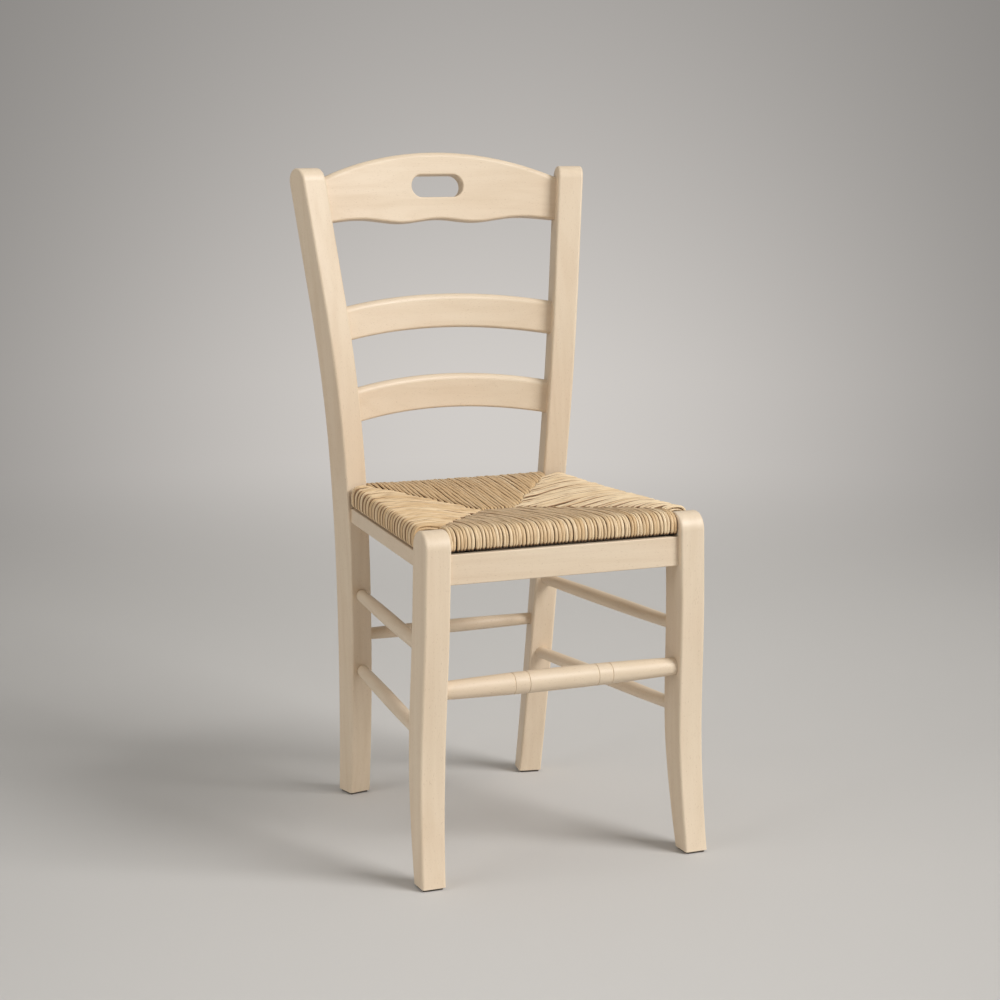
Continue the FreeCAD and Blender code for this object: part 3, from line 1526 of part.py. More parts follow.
shaped_piece("seat_screws", Part.makeCompound(seat_screws()))
shaped_piece("corner_block_screws", Part.makeCompound(block_screws()))
shaped_piece("glide_nails", Part.makeCompound(nails()))
for place, (foot, turn, width, depth) in FEET.items():
    for side in ("left", "right"):
        glide("glide_%s_%s" % (place, side), foot, turn, size(width), size(depth), side == "right")

# Check and export

doc.recompute()
for item in doc.Objects:
    if "Invalid" in item.State or "Error" in item.State:
        raise RuntimeError("object did not build: " + item.Label)
for piece in PIECES:
    if piece.Shape.isNull() or not piece.Shape.isValid():
        raise RuntimeError("shape is not valid: " + piece.Label)
    print("%-28s %9.0f mm3  %d solids" % (piece.Label, piece.Shape.Volume, len(piece.Shape.Solids)))

os.makedirs("parts", exist_ok=True)
for piece in PIECES:
    piece.Shape.exportStep("parts/" + piece.Label + ".step")
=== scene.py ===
import math

import bmesh
import bpy
import numpy as np
from bpy.props import FloatProperty
from bpy.props import FloatVectorProperty
from bpy.props import IntProperty
from bpy.props import PointerProperty
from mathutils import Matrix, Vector


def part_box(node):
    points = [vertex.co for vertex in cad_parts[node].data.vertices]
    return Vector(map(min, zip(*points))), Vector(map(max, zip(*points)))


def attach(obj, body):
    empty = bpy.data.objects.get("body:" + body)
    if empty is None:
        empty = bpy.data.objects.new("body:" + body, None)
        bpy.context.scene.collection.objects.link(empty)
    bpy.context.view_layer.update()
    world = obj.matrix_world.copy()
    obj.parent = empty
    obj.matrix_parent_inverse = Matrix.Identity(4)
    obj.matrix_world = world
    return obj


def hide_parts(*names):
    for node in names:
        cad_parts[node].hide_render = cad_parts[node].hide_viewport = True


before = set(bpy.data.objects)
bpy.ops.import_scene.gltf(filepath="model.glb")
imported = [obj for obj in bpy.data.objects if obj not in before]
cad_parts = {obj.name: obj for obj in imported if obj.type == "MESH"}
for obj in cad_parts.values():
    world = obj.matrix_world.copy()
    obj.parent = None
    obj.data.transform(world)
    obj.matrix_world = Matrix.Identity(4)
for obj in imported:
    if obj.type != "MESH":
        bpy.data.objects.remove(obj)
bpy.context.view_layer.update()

bl_info = {
    "name": "Ladderback chair with a rush seat",
    "version": (1, 0, 0),
    "blender": (4, 5, 0),
    "location": "View3D > Sidebar > Chair",
    "description": "Finishes the wood and weaves the rush seat of a ladderback dining chair",
    "category": "Object",
}


def left_and_right(*names):
    """Each name for the left side and for the right side."""
    return tuple("%s_%s" % (name, side) for name in names for side in ("left", "right"))


UPRIGHTS = left_and_right("front_leg", "rear_post")
BACK_PIECES = ("crest_rail", "upper_slat", "lower_slat")
CROSS_PIECES = ("front_seat_rail", "rear_seat_rail", "front_stretcher", "rear_stretcher")
SIDE_PIECES = left_and_right("side_seat_rail", "side_stretcher_upper", "side_stretcher_lower")
FRAME_ACROSS = ("seat_frame_front", "seat_frame_rear")
FRAME_ALONG = left_and_right("seat_frame")
CORNER_BLOCKS = left_and_right("corner_block_front", "corner_block_rear")
DOWELS = ("front_rail_dowels", "rear_rail_dowels", "seat_frame_dowels")
SCREWS = ("seat_screws", "corner_block_screws", "glide_nails")
GLIDES = left_and_right("glide_front", "glide_rear")

# The wood group's grain runs along Z, and these turns lay it along a piece
GRAIN_UP = (0.0, 0.0, 0.0)
GRAIN_ACROSS = (0.0, math.radians(90), 0.0)
GRAIN_BACKWARDS = (math.radians(90), 0.0, 0.0)
GRAIN_DIAGONAL = (0.0, math.radians(90), math.radians(45))

# How far from the CAD seat's corners its edges and notches are looked for, in metres
FRONT_STRIP = 0.020
PAST_LEGS = 0.004
PAST_POSTS = 0.010
TOP_STRIP = 0.0005
BESIDE_POSTS = 0.001

# Steps from one piece to the next through the log that they are cut from
LOG_START = (0.0, 0.11, 0.0)
LOG_STEP = (0.371, 0.233, 0.517)

# The strands' tubes, with all lengths in metres
LINE_STEP = 0.0005
ROLL_STEPS = 30
RING_STEP = 0.0048
RING_TURN = 0.34
TUBE_SIDES = 12
TWIST_GROOVE = 0.11
FIBRE_RADIUS = 0.0029
TUCK_RISE = 0.0005
DROP_LEAST = 0.0012
FILLER_DROP = 0.0037
FILLER_SET_IN = 0.0010
CREASE_SEED = 61
WEAVE_SEED = 20

# Waves along a strand: the length between two knots, and the reach for its width and height
WIDTH_WAVE = (0.035, 0.07)
HEIGHT_WAVE = (0.03, 0.06)
STRAY_STEP = 0.05
SMALL_STRAY_STEP = 0.014
BOB_STEP = 0.034

# Where a strand's effects fade: off the edge, and for the painted shade at its foot also in height
ROLL_FADES = (0.012, 0.036)
PARTING_SHADE_FADES = (0.0120, 0.0035)
FOOT_SHADE_FADES = (0.022, 0.010)
FOOT_SHADE_HEIGHTS = (0.0054, 0.0024)
FOOT_SHADE_DEPTH = 2.4

# The straw's stems and pressed core, and the width of the loose frame round it
STEMS = 300
STEM_SIDES = 5
STEM_RINGS = 5
STEM_RADII = (0.0007, 0.0012)
STEM_LENGTHS = (0.018, 0.040)
STEM_SWAY = 0.5
POCKET = (0.22, 0.86)
CORE_STEPS = 40
CORE_CLEAR = 0.0008
FRAME_RAIL = 0.054
STRAW_SEED = 7

# The round floor, and the wall that it curves up into
FLOOR_SIDES = 96
FLOOR_REACH = 5.0
FLOOR_CURVE = 2.6
WALL_HEIGHTS = (4.2, 6.5)
FLOOR_EDGE_SHADE = 0.56
FLOOR_MIDDLE = 1.2
WALL_STARTS = (1.3, 3.3)
WALL_LEVELS = (0.18, 0.61)
WALL_TINT = (1.048, 1.0, 0.953)
GLOW_HEIGHT = 1.42
POOL_SPREAD = 0.232

# The camera, and the floor's directions across and along its view
CAMERA_LENS = 79.172
CAMERA_PLACE = (-1.14216, -2.66940, 0.94445)
CAMERA_DOWN = 0.170494
CAMERA_ROLL = -0.000708
CAMERA_TURN = -0.405773
CAMERA_REACH = 2.9
ACROSS_VIEW = (0.9188, -0.3947, 0.0)
ALONG_VIEW = (0.3947, 0.9188, 0.0)
LAMP_AIM = (0, 0, 0.45)


def corner_points(node):
    """Every corner of a CAD node's mesh, as rows of x, y and z in metres."""
    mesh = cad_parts[node].data
    places = np.zeros(len(mesh.vertices) * 3, np.float32)
    mesh.vertices.foreach_get("co", places)
    return places.reshape(-1, 3).astype(float)


def rush_outline():
    """The edges and notches of the CAD rush seat, in metres."""
    points = corner_points("rush_seat")
    low = points.min(0)
    high = points.max(0)
    reach = np.abs(points[:, 0])
    front = points[:, 1] < low[1] + FRONT_STRIP
    behind_legs = (reach > reach[front].max() + PAST_LEGS) & (points[:, 1] < 0)
    by_posts = (points[:, 1] > high[1] / 2) & (reach > high[0] / 2)
    rear_half = reach[by_posts & (points[:, 2] > high[2] - TOP_STRIP)].min()
    before_posts = by_posts & (reach > rear_half + PAST_POSTS)
    wide = int(np.argmax(np.where(points[:, 1] < 0, reach, 0)))
    narrow = int(np.argmax(np.where(by_posts, reach, 0)))
    slope = (reach[narrow] - reach[wide]) / (points[narrow, 1] - points[wide, 1])
    return {
        "front": low[1],
        "rear": high[1],
        "bottom": low[2],
        "top": high[2],
        "front_half": reach[front].max(),
        "rear_half": rear_half + BESIDE_POSTS,
        "side_front": points[behind_legs, 1].min(),
        "side_rear": points[before_posts, 1].min(),
        "side_place": (points[wide, 1], reach[wide]),
        "side_slope": slope,
    }


OUTLINE = rush_outline()


# Settings that a user can change


def a_colour(name, description, default):
    """A colour to set."""
    return FloatVectorProperty(
        name=name, description=description, default=default, size=3, subtype="COLOR", min=0, max=1
    )


def a_count(name, description, default, low, high):
    """A number of strands to set."""
    return IntProperty(name=name, description=description, default=default, min=low, max=high)


def a_value(name, description, default, low, high, **kind):
    """A value to set, with its unit or subtype where it has one."""
    return FloatProperty(
        name=name, description=description, default=default, min=low, max=high, **kind
    )


def a_length(*values):
    """A length to set, in metres."""
    return a_value(*values, unit="LENGTH")


def a_share(*values):
    """A share of one to set."""
    return a_value(*values, subtype="FACTOR")


def a_power(*values):
    """A lamp's power to set, in watts."""
    return a_value(*values, unit="POWER")


class WoodSettings(bpy.types.PropertyGroup):
    pale: a_colour("Wood", "Main colour of the bleached beech", (0.752, 0.626, 0.474))
    streak: a_colour("Grain lines", "Colour of the darker lines of the grain", (0.60, 0.455, 0.305))
    fleck: a_colour("Ray flecks", "Colour of the short flecks of beech", (0.36, 0.225, 0.12))
    bare: a_colour(
        "Bare wood",
        "Colour of the planed wood without a finish, under the seat",
        (0.60, 0.43, 0.25),
    )
    grain: a_share("Grain strength", "How much the grain lines show", 0.24, 0, 1)
    gloss: a_share("Lacquer", "How much clear lacquer lies on the wood", 0.12, 0, 1)
    rough: a_share("Roughness", "Roughness of the satin surface", 0.50, 0, 1)


class RushSettings(bpy.types.PropertyGroup):
    front_corner: a_count(
        "Strands at a front corner",
        "Strands from a front leg to the start of the middle line",
        28, 6, 60,
    )
    rear_corner: a_count(
        "Strands at a rear corner",
        "Strands from a rear post to the start of the middle line",
        18, 6, 60,
    )
    middle: a_count("Strands at the middle", "Strands that meet on the middle line", 10, 1, 30)
    middle_half: a_length(
        "Half middle line",
        "Half the length of the line where front and back rush meet",
        0.026, 0.005, 0.1,
    )
    middle_back: a_length(
        "Middle line set back",
        "How far the middle line lies behind the middle of the seat",
        0.017, -0.05, 0.05,
    )
    thick: a_length(
        "Strand thickness", "Height of one twisted strand, pressed flat", 0.0040, 0.002, 0.008
    )
    over_round: a_length(
        "Roll above", "Height of the rolled edge's rounding below the top", 0.017, 0.004, 0.03
    )
    under_round: a_length(
        "Roll below", "Radius of the rolled edge where it turns under", 0.008, 0.004, 0.02
    )
    uneven: a_share("Uneven widths", "How much the strands differ in width", 0.18, 0, 0.4)
    dish: a_length("Dish", "How far the middle lies below the rolled edge", 0.017, 0.0, 0.02)
    level: a_share(
        "Level part", "Share of the way from edge to middle that stays level", 0.2, 0, 0.8
    )
    twist: a_length(
        "Twist length", "Length of strand for one full turn of its twist", 0.085, 0.01, 0.3
    )
    wander: a_length("Wander", "How far a strand strays to the side", 0.0007, 0, 0.003)
    pale: a_colour("Pale rush", "Colour of the palest strands", (0.85, 0.68, 0.455))
    golden: a_colour("Golden rush", "Colour of the golden strands", (0.66, 0.46, 0.25))
    brown: a_colour("Brown rush", "Colour of the darker strands and fibres", (0.40, 0.24, 0.115))
    # The gap colour is painted shade, where strands touch and shade falls between them
    gap: a_colour("Gap between strands", "Colour of the painted shade where strands touch", (0.29, 0.162, 0.076))


class FittingSettings(bpy.types.PropertyGroup):
    steel: a_colour("Zinc", "Colour of the zinc plated screws and nails", (0.62, 0.62, 0.60))
    glide: a_colour("Glides", "Colour of the plastic glides under the feet", (0.075, 0.06, 0.045))


class StageSettings(bpy.types.PropertyGroup):
    floor: a_colour("Floor", "Colour of the floor and backdrop", (0.617, 0.603, 0.588))
    key: a_power("Main lamp", "Power of the large soft lamp", 670.0, 0, 5000)
    fill: a_power("Side lamp", "Power of the weak lamp on the left", 80.0, 0, 5000)
    surround: a_value(
        "Surrounding light", "Strength of the even light from all round", 0.475, 0, 5
    )


class ChairSettings(bpy.types.PropertyGroup):
    wood: PointerProperty(type=WoodSettings)
    rush: PointerProperty(type=RushSettings)
    fittings: PointerProperty(type=FittingSettings)
    stage: PointerProperty(type=StageSettings)


# Small helpers for shader nodes


def with_alpha(colour):
    """A colour with full opacity, as a shader socket takes it."""
    return (colour[0], colour[1], colour[2], 1.0)


def add_node(tree, kind, label, place, **settings):
    """A node with a plain label, laid out on the sheet at place."""
    node = tree.nodes.new(kind)
    node.label = label
    node.location = (place[0] * 200, -place[1] * 160)
    for key, value in settings.items():
        setattr(node, key, value)
    return node


def feed(tree, source, socket):
    """Links a socket to an input, or writes a plain value into it."""
    if isinstance(source, bpy.types.NodeSocket):
        tree.links.new(source, socket)
    else:
        socket.default_value = source


def object_place(tree, place):
    """Where a point lies on the chair, or in the room."""
    return add_node(tree, "ShaderNodeTexCoord", "Place", place).outputs["Object"]


def noise(tree, label, place, vector, *shape):
    """A noise texture's value. Its shape is scale, detail, roughness and distortion."""
    node = add_node(tree, "ShaderNodeTexNoise", label, place)
    feed(tree, vector, node.inputs["Vector"])
    for name, value in zip(("Scale", "Detail", "Roughness", "Distortion"), shape):
        node.inputs[name].default_value = value
    return node.outputs[0]


def vector_math(tree, label, place, operation, vector, other=None):
    """A vector worked on with another, as a vector or as one value."""
    node = add_node(tree, "ShaderNodeVectorMath", label, place, operation=operation)
    feed(tree, vector, node.inputs[0])
    if other is not None:
        feed(tree, other, node.inputs[1])
    return node.outputs["Value" if operation in ("DOT_PRODUCT", "LENGTH") else "Vector"]


def stretched_noise(tree, label, place, vector, amounts, *shape):
    """A noise drawn out along the grain or the strand."""
    drawn = vector_math(tree, label + " place", place, "MULTIPLY", vector, amounts)
    return noise(tree, label, (place[0] + 1, place[1]), drawn, *shape)


def sum_up(tree, label, place, operation, *values, clamp=False):
    """A sum of one value, of two, or of three for a product and a sum."""
    node = add_node(tree, "ShaderNodeMath", label, place, operation=operation)
    node.use_clamp = clamp
    for value, socket in zip(values, node.inputs):
        feed(tree, value, socket)
    return node.outputs[0]


def ramp(tree, label, place, value, low, high, to_low=0.0, to_high=1.0, shape="SMOOTHSTEP"):
    """A step from low to high, smooth unless the shape says otherwise."""
    node = add_node(tree, "ShaderNodeMapRange", label, place, interpolation_type=shape)
    names = ("Value", "From Min", "From Max", "To Min", "To Max")
    for name, source in zip(names, (value, low, high, to_low, to_high)):
        feed(tree, source, node.inputs[name])
    return node.outputs[0]


def blend_colour(tree, label, place, share, first, second, blend="MIX"):
    """Two colours mixed by a share."""
    node = add_node(tree, "ShaderNodeMix", label, place, data_type="RGBA", blend_type=blend)
    feed(tree, share, node.inputs[0])
    feed(tree, first, node.inputs[6])
    feed(tree, second, node.inputs[7])
    return node.outputs[2]


def open_group(name, inputs, outputs):
    """A shader node group: its tree, what comes in by name, and what goes out by name."""
    tree = bpy.data.node_groups.new(name, "ShaderNodeTree")
    kinds = {1: "NodeSocketFloat", 3: "NodeSocketVector", 4: "NodeSocketColor"}
    for label, value in inputs.items():
        kind = kinds[np.size(value)]
        socket = tree.interface.new_socket(name=label, in_out="INPUT", socket_type=kind)
        socket.default_value = value
    for label in outputs:
        kind = kinds[4 if label == "Color" else 1]
        tree.interface.new_socket(name=label, in_out="OUTPUT", socket_type=kind)
    start = add_node(tree, "NodeGroupInput", "Inputs", (-6, 0))
    end = add_node(tree, "NodeGroupOutput", "Outputs", (8, 0))
    return tree, start.outputs, end.inputs


def place_group(tree, name, make, place, values):
    """A shared node group with a material's own values, made first if it isn't there."""
    node = add_node(tree, "ShaderNodeGroup", name, place)
    node.node_tree = bpy.data.node_groups.get(name) or make(name)
    for label, value in values.items():
        feed(tree, value, node.inputs[label])
    return node.outputs


def new_material(name):
    """An empty material and its tree."""
    material = bpy.data.materials.new(name)
    material.use_nodes = True
    tree = material.node_tree
    tree.nodes.clear()
    return material, tree


def add_shader(tree, values, colour, rough, height=None, strength=0.0, distance=0.0):
    """The Principled BSDF with plain values on its own sockets, and the output.

    Its colour, its roughness and the height for a bump change over the surface.
    """
    shader = add_node(tree, "ShaderNodeBsdfPrincipled", "Surface", (10, 0))
    output = add_node(tree, "ShaderNodeOutputMaterial", "Output", (12, 0))
    feed(tree, shader.outputs[0], output.inputs["Surface"])
    for label, value in values.items():
        shader.inputs[label].default_value = value
    feed(tree, colour, shader.inputs["Base Color"])
    feed(tree, rough, shader.inputs["Roughness"])
    if height is not None:
        bump = add_node(tree, "ShaderNodeBump", "Relief", (8, 4))
        bump.inputs["Strength"].default_value = strength
        bump.inputs["Distance"].default_value = distance
        feed(tree, height, bump.inputs["Height"])
        feed(tree, bump.outputs[0], shader.inputs["Normal"])
    return shader, output


# Shared effects


def beech_grain_group(name):
    """Grain of bleached beech: long lines, faint rings and short ray flecks."""
    tree, inputs, outputs = open_group(
        name,
        {
            "Wood": (0.7, 0.6, 0.4, 1),
            "Grain lines": (0.5, 0.4, 0.3, 1),
            "Ray flecks": (0.4, 0.2, 0.1, 1),
            "Strength": 0.4,
            "Fleck share": 0.5,
            "Shift": (0, 0, 0),
            "Turn": (0, 0, 0),
            "Tone": 0.0,
            "Satin": 0.4,
        },
        ("Color", "Roughness", "Height"),
    )
    turned = add_node(tree, "ShaderNodeMapping", "Along the piece", (-5, 2))
    feed(tree, object_place(tree, (-6, 3)), turned.inputs["Vector"])
    feed(tree, inputs["Shift"], turned.inputs["Location"])
    feed(tree, inputs["Turn"], turned.inputs["Rotation"])
    along = turned.outputs[0]
    fine = stretched_noise(
        tree, "Fine lines", (-4, 0), along, (1.0, 1.0, 0.022), 620, 4, 0.62, 0.15
    )
    broad = stretched_noise(
        tree, "Broad bands", (-4, 1), along, (1.0, 1.0, 0.035), 62, 3, 0.55, 0.4
    )
    rings = stretched_noise(tree, "Rings", (-4, 2), along, (1.0, 1.0, 0.11), 11, 1.5, 0.4, 0.3)
    rings = sum_up(tree, "Rings count", (-2, 2), "MULTIPLY", rings, 95.0)
    rings = sum_up(tree, "Rings wave", (-1, 2), "SINE", rings)
    rings = ramp(tree, "Rings seen", (0, 2), rings, -0.2, 1.0)
    flecks = stretched_noise(tree, "Flecks", (-4, 3), along, (1.0, 1.0, 0.17), 1500, 1, 0.5)
    flecks = ramp(tree, "Flecks seen", (-2, 3), flecks, 0.66, 0.76)
    patch = noise(tree, "Slow change", (-3, 4), along, 5.5, 2, 0.5, 0.2)
    line_share = ramp(tree, "Line share", (-2, 0), fine, 0.44, 0.80)
    band_share = ramp(tree, "Band share", (-2, 1), broad, 0.38, 0.78)
    lines = sum_up(tree, "Lines and bands", (0, 0), "MULTIPLY_ADD", line_share, 0.55, band_share)
    lines = sum_up(tree, "Lines, bands, rings", (1, 0), "MULTIPLY_ADD", rings, 0.38, lines)
    lines = sum_up(tree, "Grain share", (2, 0), "MULTIPLY", lines, inputs["Strength"])
    toned = sum_up(tree, "With tone", (3, 0), "ADD", lines, inputs["Tone"], clamp=True)
    wood = blend_colour(
        tree, "Grained wood", (4, 0), toned, inputs["Wood"], inputs["Grain lines"]
    )
    fleck_share = sum_up(tree, "Fleck share", (3, 2), "MULTIPLY", flecks, inputs["Fleck share"])
    wood = blend_colour(tree, "Flecked wood", (5, 0), fleck_share, wood, inputs["Ray flecks"])
    slow_share = ramp(tree, "Slow share", (4, 3), patch, 0.35, 0.75, 0.0, 0.07)
    wood = blend_colour(
        tree, "Warmer patches", (6, 0), slow_share, wood, (0.86, 0.52, 0.34, 1), "MULTIPLY"
    )
    feed(tree, wood, outputs["Color"])
    rough_change = ramp(tree, "Rough change", (5, 2), broad, 0.3, 0.75, -0.05, 0.07)
    rough = sum_up(tree, "Satin change", (6, 2), "ADD", rough_change, inputs["Satin"])
    feed(tree, rough, outputs["Roughness"])
    height = sum_up(tree, "Pores", (6, 3), "SUBTRACT", fine, fleck_share)
    feed(tree, height, outputs["Height"])
    return tree


def edge_light_and_wear_group(name):
    """A mask of the rounded edges, for a painted highlight and rubbed lacquer there, broken up so
    that it isn't even.
    """
    tree, inputs, outputs = open_group(name, {"Width": 0.002}, ("Mask",))
    bevel = add_node(tree, "ShaderNodeBevel", "Rounded normal", (-4, 0), samples=4)
    feed(tree, inputs["Width"], bevel.inputs["Radius"])
    surface = add_node(tree, "ShaderNodeNewGeometry", "Surface normal", (-4, 2))
    same = vector_math(
        tree, "Same way", (-3, 0), "DOT_PRODUCT", bevel.outputs[0], surface.outputs["Normal"]
    )
    bent = ramp(tree, "Bent", (-2, 0), same, 0.995, 0.90)
    uneven = noise(tree, "Uneven", (-3, 3), object_place(tree, (-4, 4)), 70, 3, 0.6)
    uneven_share = ramp(tree, "Uneven share", (-2, 3), uneven, 0.35, 0.65, 0.35, 1.0)
    mask = sum_up(tree, "Painted edge light and wear", (0, 0), "MULTIPLY", bent, uneven_share)
    feed(tree, mask, outputs["Mask"])
    return tree


def rush_fibre_group(name):
    """Twisted rush: fibres along the strand, tones that change, and painted shade in its gaps and
    twist groove.
    """
    tree, inputs, outputs = open_group(
        name,
        {
            "Pale": (0.8, 0.7, 0.4, 1),
            "Golden": (0.6, 0.4, 0.2, 1),
            "Brown": (0.4, 0.2, 0.1, 1),
            "Gap": (0.1, 0.05, 0.02, 1),
            "Gap reach": 0.75,
        },
        ("Color", "Roughness", "Height"),
    )
    spot, tone, crown = (
        add_node(tree, "ShaderNodeAttribute", label, (-6, row), attribute_name=kept).outputs[kind]
        for label, row, kept, kind in (
            ("Place on the strand", 2, "strand_place", "Vector"),
            ("Tone of the strand", 4, "strand_tone", "Fac"),
            ("Crown of the strand", 6, "strand_crown", "Fac"),
        )
    )
    fibres = stretched_noise(tree, "Fibres", (-5, 0), spot, (1.0, 1.0, 0.05), 900, 4, 0.65, 0.1)
    blotches = stretched_noise(
        tree, "Blotches", (-5, 1), spot, (1.0, 1.0, 0.3), 110, 3, 0.55, 0.2
    )
    leaves = stretched_noise(tree, "Leaf change", (-5, 2), spot, (0.2, 0.2, 1.0), 13, 2, 0.5)
    leaf_share = ramp(tree, "Leaf share", (-3, 2), leaves, 0.3, 0.7, -0.28, 0.28)
    tone_share = sum_up(tree, "Tone share", (-2, 2), "ADD", tone, leaf_share, clamp=True)
    rush = blend_colour(
        tree, "Pale to golden", (0, 0), tone_share, inputs["Pale"], inputs["Golden"]
    )
    fibre_share = ramp(tree, "Fibre share", (-2, 0), fibres, 0.50, 0.78, 0.0, 0.55)
    rush = blend_colour(tree, "Dark fibres", (1, 0), fibre_share, rush, inputs["Brown"])
    blotch_share = ramp(tree, "Blotch share", (-2, 1), blotches, 0.56, 0.80, 0.0, 0.45)
    rush = blend_colour(tree, "Brown blotches", (2, 0), blotch_share, rush, inputs["Brown"])
    split = add_node(tree, "ShaderNodeSeparateXYZ", "Round the strand", (-5, 5))
    feed(tree, spot, split.inputs[0])
    side = sum_up(tree, "Off the groove", (-4, 5), "ABSOLUTE", split.outputs[0])
    # The groove of the twist gets painted shade in the gap colour
    groove = ramp(tree, "Groove of the twist", (-3, 5), side, 0.00075, 0.00015)
    groove_share = sum_up(tree, "Groove share", (-1, 4), "MULTIPLY", groove, 0.50)
    rush = blend_colour(tree, "Grooved", (3, 0), groove_share, rush, inputs["Gap"])
    # Shade is painted in the gap colour towards a strand's flanks, where it meets the next one
    open_part = ramp(tree, "Open part", (-1, 6), crown, 0.10, inputs["Gap reach"])
    rush = blend_colour(tree, "Gap to crown", (4, 0), open_part, inputs["Gap"], rush)
    # The deepest flanks, between strands and under the front roll, get a painted near-black shade
    deep_shade_share = ramp(tree, "Deep shade share", (4, 2), crown, -0.7, -1.15)
    rush = blend_colour(
        tree, "Painted deep shade between strands", (5, 0), deep_shade_share, rush, (0.022, 0.013, 0.008, 1)
    )
    feed(tree, rush, outputs["Color"])
    rough = ramp(tree, "Dry or waxy", (3, 3), blotches, 0.3, 0.7, 0.42, 0.62)
    feed(tree, rough, outputs["Roughness"])
    rise = sum_up(tree, "Fibre relief", (3, 5), "SUBTRACT", fibres, groove_share)
    feed(tree, rise, outputs["Height"])
    return tree


# Materials


def beech_material(name, turn, shift, tone, settings, bare=False):
    """Beech for one piece: lacquered where it shows, planed and bare under the seat."""
    material, tree = new_material(name)
    values = {
        "Wood": with_alpha(settings.bare if bare else settings.pale),
        "Grain lines": with_alpha(settings.streak),
        "Ray flecks": with_alpha(settings.fleck),
        "Strength": settings.grain,
        "Fleck share": 0.5 if bare else 0.42,
        "Shift": shift,
        "Turn": turn,
        "Tone": tone,
        "Satin": 0.62 if bare else settings.rough,
    }
    grain = place_group(tree, "Beech grain", beech_grain_group, (2, 0), values)
    colour = grain["Color"]
    if not bare:
        edge_reach = {"Width": 0.0022}
        edges = place_group(tree, "Handled edges", edge_light_and_wear_group, (2, 4), edge_reach)
        # The edges are painted paler: a painted highlight where the rounded edges catch the light,
        # and rubbed lacquer
        edge_light_share = sum_up(tree, "Edge share", (4, 4), "MULTIPLY", edges["Mask"], 0.20)
        colour = blend_colour(tree, "Edges painted paler", (6, 0), edge_light_share, colour, (0.82, 0.71, 0.56, 1))
    finish = {
        "IOR": 1.5,
        "Coat Weight": 0.0 if bare else settings.gloss,
        "Coat Roughness": 0.35,
    }
    relief = 0.35 if bare else 0.16
    add_shader(tree, finish, colour, grain["Roughness"], grain["Height"], relief, 0.0004)
    return material


def stalk_material(name, colours, gap_reach, finish, relief):
    """Dried stalks, with pale, golden, brown and gap colours."""
    material, tree = new_material(name)
    values = dict(zip(("Pale", "Golden", "Brown", "Gap"), map(with_alpha, colours)))
    values["Gap reach"] = gap_reach
    fibre = place_group(tree, "Rush fibre", rush_fibre_group, (2, 0), values)
    parts = (fibre["Color"], fibre["Roughness"], fibre["Height"])
    add_shader(tree, finish, *parts, relief, 0.0004)
    return material


def rush_material(settings):
    """Twisted natural rush, with the faint sheen of its skin."""
    colours = (settings.pale, settings.golden, settings.brown, settings.gap)
    finish = {"IOR": 1.45, "Sheen Weight": 0.12, "Sheen Roughness": 0.4}
    return stalk_material("Twisted rush", colours, 0.54, finish, 0.5)


def straw_material(settings):
    """Loose dry straw, duller than the rush round it."""
    colours = (settings.golden, settings.brown, settings.brown, settings.brown)
    return stalk_material("Dry straw", colours, 0.3, {"IOR": 1.45}, 0.4)


def zinc_material(settings):
    """Zinc plated steel with a mottled plating."""
    material, tree = new_material("Zinc plated steel")
    place = object_place(tree, (0, 0))
    spangle = noise(tree, "Plating", (1, 0), place, 900, 3, 0.6)
    scratch = noise(tree, "Scratches", (1, 2), place, 4200, 2, 0.5)
    share = ramp(tree, "Dull share", (3, 0), spangle, 0.35, 0.7)
    colour = blend_colour(
        tree, "Plating colour", (5, 0), share, with_alpha(settings.steel), (0.42, 0.43, 0.42, 1)
    )
    rough = ramp(tree, "Plating roughness", (5, 2), spangle, 0.3, 0.7, 0.28, 0.46)
    add_shader(tree, {"Metallic": 1.0}, colour, rough, scratch, 0.2, 0.0001)
    return material


def glide_material(settings):
    """Dull moulded plastic, scuffed where it meets the floor."""
    material, tree = new_material("Moulded glide")
    place = object_place(tree, (0, 0))
    skin = noise(tree, "Moulded skin", (1, 0), place, 2600, 2, 0.6)
    scuffs = noise(tree, "Scuffs", (1, 2), place, 320, 4, 0.7, 0.5)
    scuff_share = ramp(tree, "Scuff share", (3, 2), scuffs, 0.52, 0.75, 0.0, 0.6)
    colour = blend_colour(
        tree, "Scuffed", (5, 0), scuff_share, with_alpha(settings.glide), (0.2, 0.18, 0.15, 1)
    )
    rough = ramp(tree, "Skin roughness", (5, 2), scuffs, 0.3, 0.7, 0.48, 0.72)
    add_shader(tree, {"IOR": 1.5}, colour, rough, skin, 0.3, 0.0002)
    return material


def give_material(node, material):
    """Puts one material on a CAD node in place of the plain one."""
    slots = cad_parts[node].material_slots
    if not slots:
        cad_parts[node].data.materials.append(material)
    for slot in slots:
        slot.material = material


def finish_in_beech(nodes, turn, settings, first, tones, bare=False):
    """Beech for each of these nodes, each with its own place in the log and tone."""
    for count, node in enumerate(nodes):
        shift = [step * (first + count) + start for step, start in zip(LOG_STEP, LOG_START)]
        name = "Beech " + node.replace("_", " ")
        tone = tones[count % len(tones)]
        give_material(node, beech_material(name, turn, shift, tone, settings, bare))


# Rush strands


def soft_wave(random, length, step, reach):
    """A smooth random wave along a length, as a function of the place on it."""
    count = max(4, int(length / step) + 3)
    knots = random.uniform(-1, 1, count)

    def at(place):
        spot = np.clip(np.asarray(place) / step, 0, count - 1.001)
        left = spot.astype(int)
        part = spot - left
        part = part * part * (3 - 2 * part)
        return reach * (knots[left] * (1 - part) + knots[left + 1] * part)

    return at


def step_up(low, high, value):
    """A smooth step from 0 at low to 1 at high."""
    part = np.clip((value - low) / (high - low), 0, 1)
    return part * part * (3 - 2 * part)


